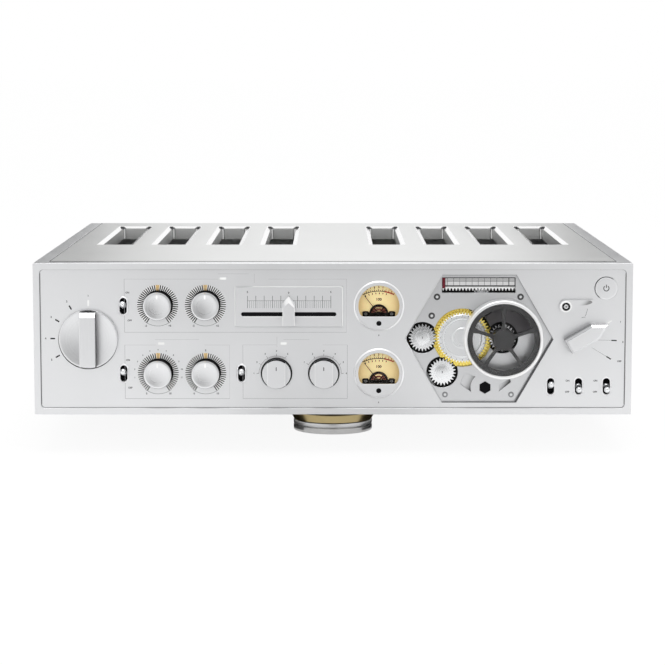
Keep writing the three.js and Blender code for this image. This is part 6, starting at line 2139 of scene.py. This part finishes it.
# %% [markdown]
# The ground is plain white with hardly any shadow. White paper under strong lamps would do that, but
# it would also shine up into the metal. So the floor glows to the camera, glows less in mirrors, and
# is white paint to all other light. The world is white at a strength of 1, and one broad lamp
# overhead draws white lines along the edges that face up. Grey flags, seen only in mirrors and
# through glass, shade the metal: behind the camera, low in front, under the case, under the front
# foot, and two high behind the case, which shade the corners of its top.

# %% Floor, world and lamps
floor_data = bpy.data.meshes.new("floor")
floor_bm = bmesh.new()
bmesh.ops.create_grid(floor_bm, x_segments=1, y_segments=1, size=30)
floor_bm.to_mesh(floor_data)
floor_bm.free()
floor = linked(floor_data, "floor")
floor_paint = Finish("floor_white")
speck = floor_paint.noise(3, 2.0)
floor_paint.vary("Base Color", floor_paint.between(speck, (0.95, 0.95, 0.95), (0.97, 0.97, 0.97)))
floor_paint.constants(Roughness=0.9)
seen = floor_paint.node("ShaderNodeLightPath")
to_camera, to_mirror, through_glass = seen[0], seen[3], seen[6]
mirrored = to_mirror.math("MAXIMUM", to_mirror, through_glass) * 0.4
clear = to_camera.math("MAXIMUM", to_camera * 0.92, mirrored)
glow = floor_paint.tree.nodes.new("ShaderNodeEmission")
mix = floor_paint.tree.nodes.new("ShaderNodeMixShader")
floor_paint.feed(mix.inputs[0], clear)
floor_paint.tree.links.new(floor_paint.shader.outputs[0], mix.inputs[1])
floor_paint.tree.links.new(glow.outputs[0], mix.inputs[2])
floor_paint.tree.links.new(mix.outputs[0], floor_paint.tree.nodes["Material Output"].inputs[0])
floor_data.materials.append(floor_paint.material)
floor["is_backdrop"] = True

world = bpy.data.worlds.new("world")
bpy.context.scene.world = world
world.use_nodes = True
background = world.node_tree.nodes["Background"]
background.inputs["Color"].default_value = (1, 1, 1, 1)
background.inputs["Strength"].default_value = 1


def aimed(made, place, target):
    """Sets an object at a place, turned to a target and hidden from the camera."""
    made.location = place
    made.rotation_euler = (Vector(target) - Vector(place)).to_track_quat("-Z", "Y").to_euler()
    made.visible_camera = False


def lamp(name, place, target, size, power):
    data = bpy.data.lights.new(name, "AREA")
    data.shape = "RECTANGLE"
    data.size, data.size_y = size
    data.energy = power
    aimed(linked(data, name), place, target)


def flag(name, place, target, size, grey):
    """A grey card that shows only in mirrors and through glass."""
    data = bpy.data.meshes.new(name)
    wide, tall = size[0] / 2, size[1] / 2
    corners = [(-wide, -tall, 0), (wide, -tall, 0), (wide, tall, 0), (-wide, tall, 0)]
    data.from_pydata(corners, [], [(0, 1, 2, 3)])
    data.materials.append(moulded(name + "_paint", (grey, grey, grey), 0.9))
    made = linked(data, name)
    aimed(made, place, target)
    made.visible_diffuse = False
    made.visible_shadow = False
    made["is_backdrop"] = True


flag("front_flag", (0.06, -2.35, 0.4), (0, -0.2, 0.1), (0.7, 0.9), 0.05)
flag("low_flag", (0.05, -1.4, 0.004), (0.05, -1.4, 1), (0.45, 1.1), 0.08)
flag("under_flag", (0, 0.08, 0.002), (0, 0.08, 1), (0.5, 0.4), 0.01)
flag("foot_flag", (0, -0.28, 0.003), (0, -0.28, 1), (0.15, 0.19), 0.5)
for side in (-1, 1):
    flag("rear_flag_%d" % (1 + side), (side * 0.72, 1.6, 0.8), (0, 0, 0.15), (0.85, 1.4), 0.05)
lamp("top_lamp", (0.1, -0.25, 1.6), (0, -0.15, 0), (1.6, 0.9), 14)
print("stage set")

# %% [markdown]
# The pieces have to fill the same box as the model they dress. One could measure it by hand, but
# the script can work it out. So the boxes before and after the dressing are taken, and the largest
# difference between them is printed.

# %% Finish
pieces_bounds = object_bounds()
apart = max(abs(a - b) for old, new in zip(cad_bounds, pieces_bounds) for a, b in zip(old, new))
print("the two boxes agree to", round(apart / MM, 2), "mm")
